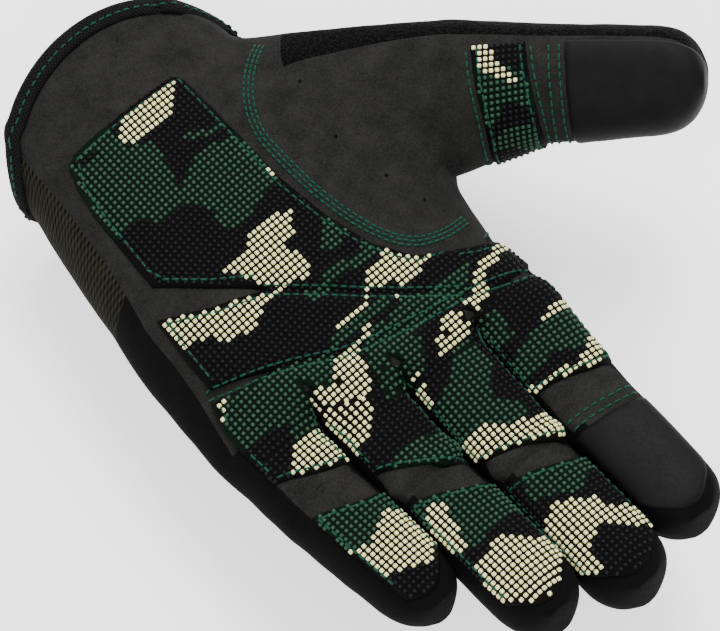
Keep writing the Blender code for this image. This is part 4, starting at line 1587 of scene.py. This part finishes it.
def wrist_tab(skin, decoration):
    """The closing tab on the back of the wrist, with its hook and loop patches."""
    back = Palm(skin, palm=False)

    def layer(name, group, look, x_span, y_span, lift, thickness, corner, replaces):
        across, along = TAB_GRID
        rows = []
        for u in np.linspace(-1, 1, across):
            for v in np.linspace(-1, 1, along):
                x, y = squared(u, v, x_span, y_span, corner)
                point, normal = back.at(x, y)
                edge = max(abs(u), abs(v))
                drop = thickness * 0.45 * max(0.0, (edge - 0.9) / 0.1) ** 2
                rows.append((point + normal * (lift - drop), point + normal * (lift - thickness)))
        points = np.concatenate([[pair[k] for pair in rows] for k in (0, 1)])
        loops = slab_faces(across, along)
        uv = corner_uv(loops, points[:, 0], points[:, 1])
        piece(name, group, look, points, loops, uv, replaces=replaces)

    inner_y = (TAB_Y[0] + 2, TAB_Y[1] - 2)
    loop_x = (TAB_X[0] + 2, TAB_X[1] - 6)
    layer("loop_patch", "hand", "hook", loop_x, inner_y, 1.2, 1.0, 2, ("loop_patch",))
    layer("hook_patch", "wrist_tab", "hook", (TAB_X[0] + 2, -2), inner_y, 2.5, 1.0, 2, ("hook_patch",))
    layer("wrist_tab", "wrist_tab", "binding", TAB_X, TAB_Y, 4.6, 1.7, 5, ("wrist_tab",))
    layer("tab_root", "hand", "binding", (TAB_X[1] - 0.5, TAB_X[1] + 2.2), TAB_Y, 4.4, 4.7, 1, ())
    edge = [squared(u, v, TAB_X, TAB_Y, 5) for u, v in around_square(0.88, 0.80)]
    decoration.sew(Lifted(back, 4.5, "wrist_tab"), edge)
    edge = [squared(u, v, loop_x, inner_y, 2) for u, v in around_square(0.93, 0.9)]
    decoration.sew(Lifted(back, 1.1, "hand"), edge)


def slab_faces(across, along):
    """Faces of a slab, from a grid of points on its top and then the same grid on its underside."""
    faces = []
    for i in range(across - 1):
        for j in range(along - 1):
            a = i * along + j
            faces.append((a, a + 1, a + along + 1, a + along))
    rim = [*range(along), *range(2 * along - 1, across * along, along)]
    rim += [*range(across * along - 2, (across - 1) * along - 1, -1)]
    rim += [*range((across - 2) * along, 0, -along)]
    total = across * along
    faces += [(a + total, d + total, c + total, b + total) for a, b, c, d in list(faces)]
    faces += [(a, a + total, b + total, b) for a, b in zip(rim, [*rim[1:], rim[0]])]
    return np.array(faces)


class Lifted:
    """Places on a layer that stands off a surface."""

    def __init__(self, below, lift, group):
        self.below, self.lift, self.name = below, lift, group

    def at(self, x, y):
        point, normal = self.below.at(x, y)
        return point + normal * self.lift, normal

    def group(self, x, y):
        return self.name


def around_square(u, v):
    corners = ((-u, -v), (u, -v), (u, v), (-u, v), (-u, -v))
    return resample(corners, 60)


def squared(u, v, x_span, y_span, corner):
    """A place of a rectangle whose corners are rounded, from u and v in -1 to 1."""
    half = np.array(((x_span[1] - x_span[0]) / 2, (y_span[1] - y_span[0]) / 2))
    centre = np.array(((x_span[1] + x_span[0]) / 2, (y_span[1] + y_span[0]) / 2))
    pull = corner * (1 - math.sqrt(0.5)) * (abs(u) * abs(v)) ** 6
    return centre + half * (u, v) - np.sign((u, v)) * pull


def perforations(palm, decoration):
    """Small round holes, as flat dark discs on the surface: painted shade for the shadowed insides of the
    holes, in the colour of the dark stretch cloth.
    """
    turns = np.linspace(0, 2 * math.pi, HOLE_SIDES + 1)[:-1]
    ring = np.array([(math.cos(a) * HOLE_RADIUS, math.sin(a) * HOLE_RADIUS, 0.06) for a in turns])
    hits = [palm.at(x, y) for x, y in PERFORATIONS]
    places = [(hit[0], frame_on(hit[1], np.array((0, 1.0, 0)))) for hit in hits if hit]
    disc = (ring, [tuple(range(HOLE_SIDES))])
    # The discs are painted shade, standing in for the dark insides of the holes.
    piece("palm_perforations", "hand", "stretch", *scattered(disc, places))


# The view


def camera():
    azimuth, elevation = math.radians(CAMERA_AZIMUTH), math.radians(CAMERA_ELEVATION)
    level = math.cos(elevation)
    back = Vector((math.sin(azimuth) * level, -math.cos(azimuth) * level, math.sin(elevation)))
    right = Vector((math.cos(azimuth), math.sin(azimuth), 0))
    up = back.cross(right)
    data = bpy.data.cameras.new("camera")
    data.sensor_width = SENSOR
    data.lens = SENSOR * CAMERA_DISTANCE * PIXELS_PER_MM / IMAGE_WIDTH
    data.clip_start, data.clip_end = 0.01, 10
    obj = added("camera", data)
    target = (right * AIM[0] + up * AIM[1]) * MM
    obj.location = target + back * CAMERA_DISTANCE * MM
    obj.rotation_euler = back.to_track_quat("Z", "Y").to_euler()
    bpy.context.scene.camera = obj


def light(name, location, size, power):
    data = bpy.data.lights.new(name, "AREA")
    data.shape = "DISK"
    data.size = size
    data.energy = power
    obj = added(name, data)
    obj.location = location
    obj.rotation_euler = (Vector(location) - Vector(LIGHT_AIM)).to_track_quat("Z", "Y").to_euler()


def studio():
    side = FLOOR_SIDE
    low = min(cad_box[0][2], FLOOR_TOP)
    corners = [(x, y, low) for x, y in ((-side, -side), (side, -side), (side, side), (-side, side))]
    mesh = new_mesh("floor", corners, [(0, 1, 2, 3)])
    pale = Shader("floor", 0.9, Specular_IOR_Level=0.1, Emission_Color=(1, 1, 1, 1), Emission_Strength=1.1)
    pale.colour(pale.mix(pale.noise(900.0, 1.0), (0.97, 0.97, 0.97), (0.98, 0.98, 0.98)))
    mesh.materials.append(pale.material)
    floor = added("floor", mesh)
    world = bpy.data.worlds.new("studio")
    world.use_nodes = True
    inputs = world.node_tree.nodes["Background"].inputs
    inputs["Color"].default_value = (1, 1, 1, 1)
    inputs["Strength"].default_value = WORLD_LIGHT
    bpy.context.scene.world = world
    for settings in LIGHTS:
        light(*settings)


DIGITS = {name: Digit(name) for name in (*FINGER_NAMES, "thumb")}


def main():
    cage = Cage()
    starts, on_palm, on_back = build_hand(cage)
    for name in FINGER_NAMES:
        build_finger(cage, DIGITS[name], starts[name])
    build_thumb(cage, DIGITS["thumb"], starts["thumb"], on_palm, on_back)
    skin = Skin(cage, 3)
    skin.build()
    decoration = Decoration()
    palm = Palm(skin)
    dress_palm(skin, palm, decoration)
    for name in FINGER_NAMES:
        dress_finger(skin, DIGITS[name], decoration)
    dress_thumb(skin, DIGITS["thumb"], decoration)
    hem_ring(skin, decoration)
    lining(skin)
    wrist_tab(skin, decoration)
    perforations(palm, decoration)
    decoration.make()
    camera()
    studio()


main()
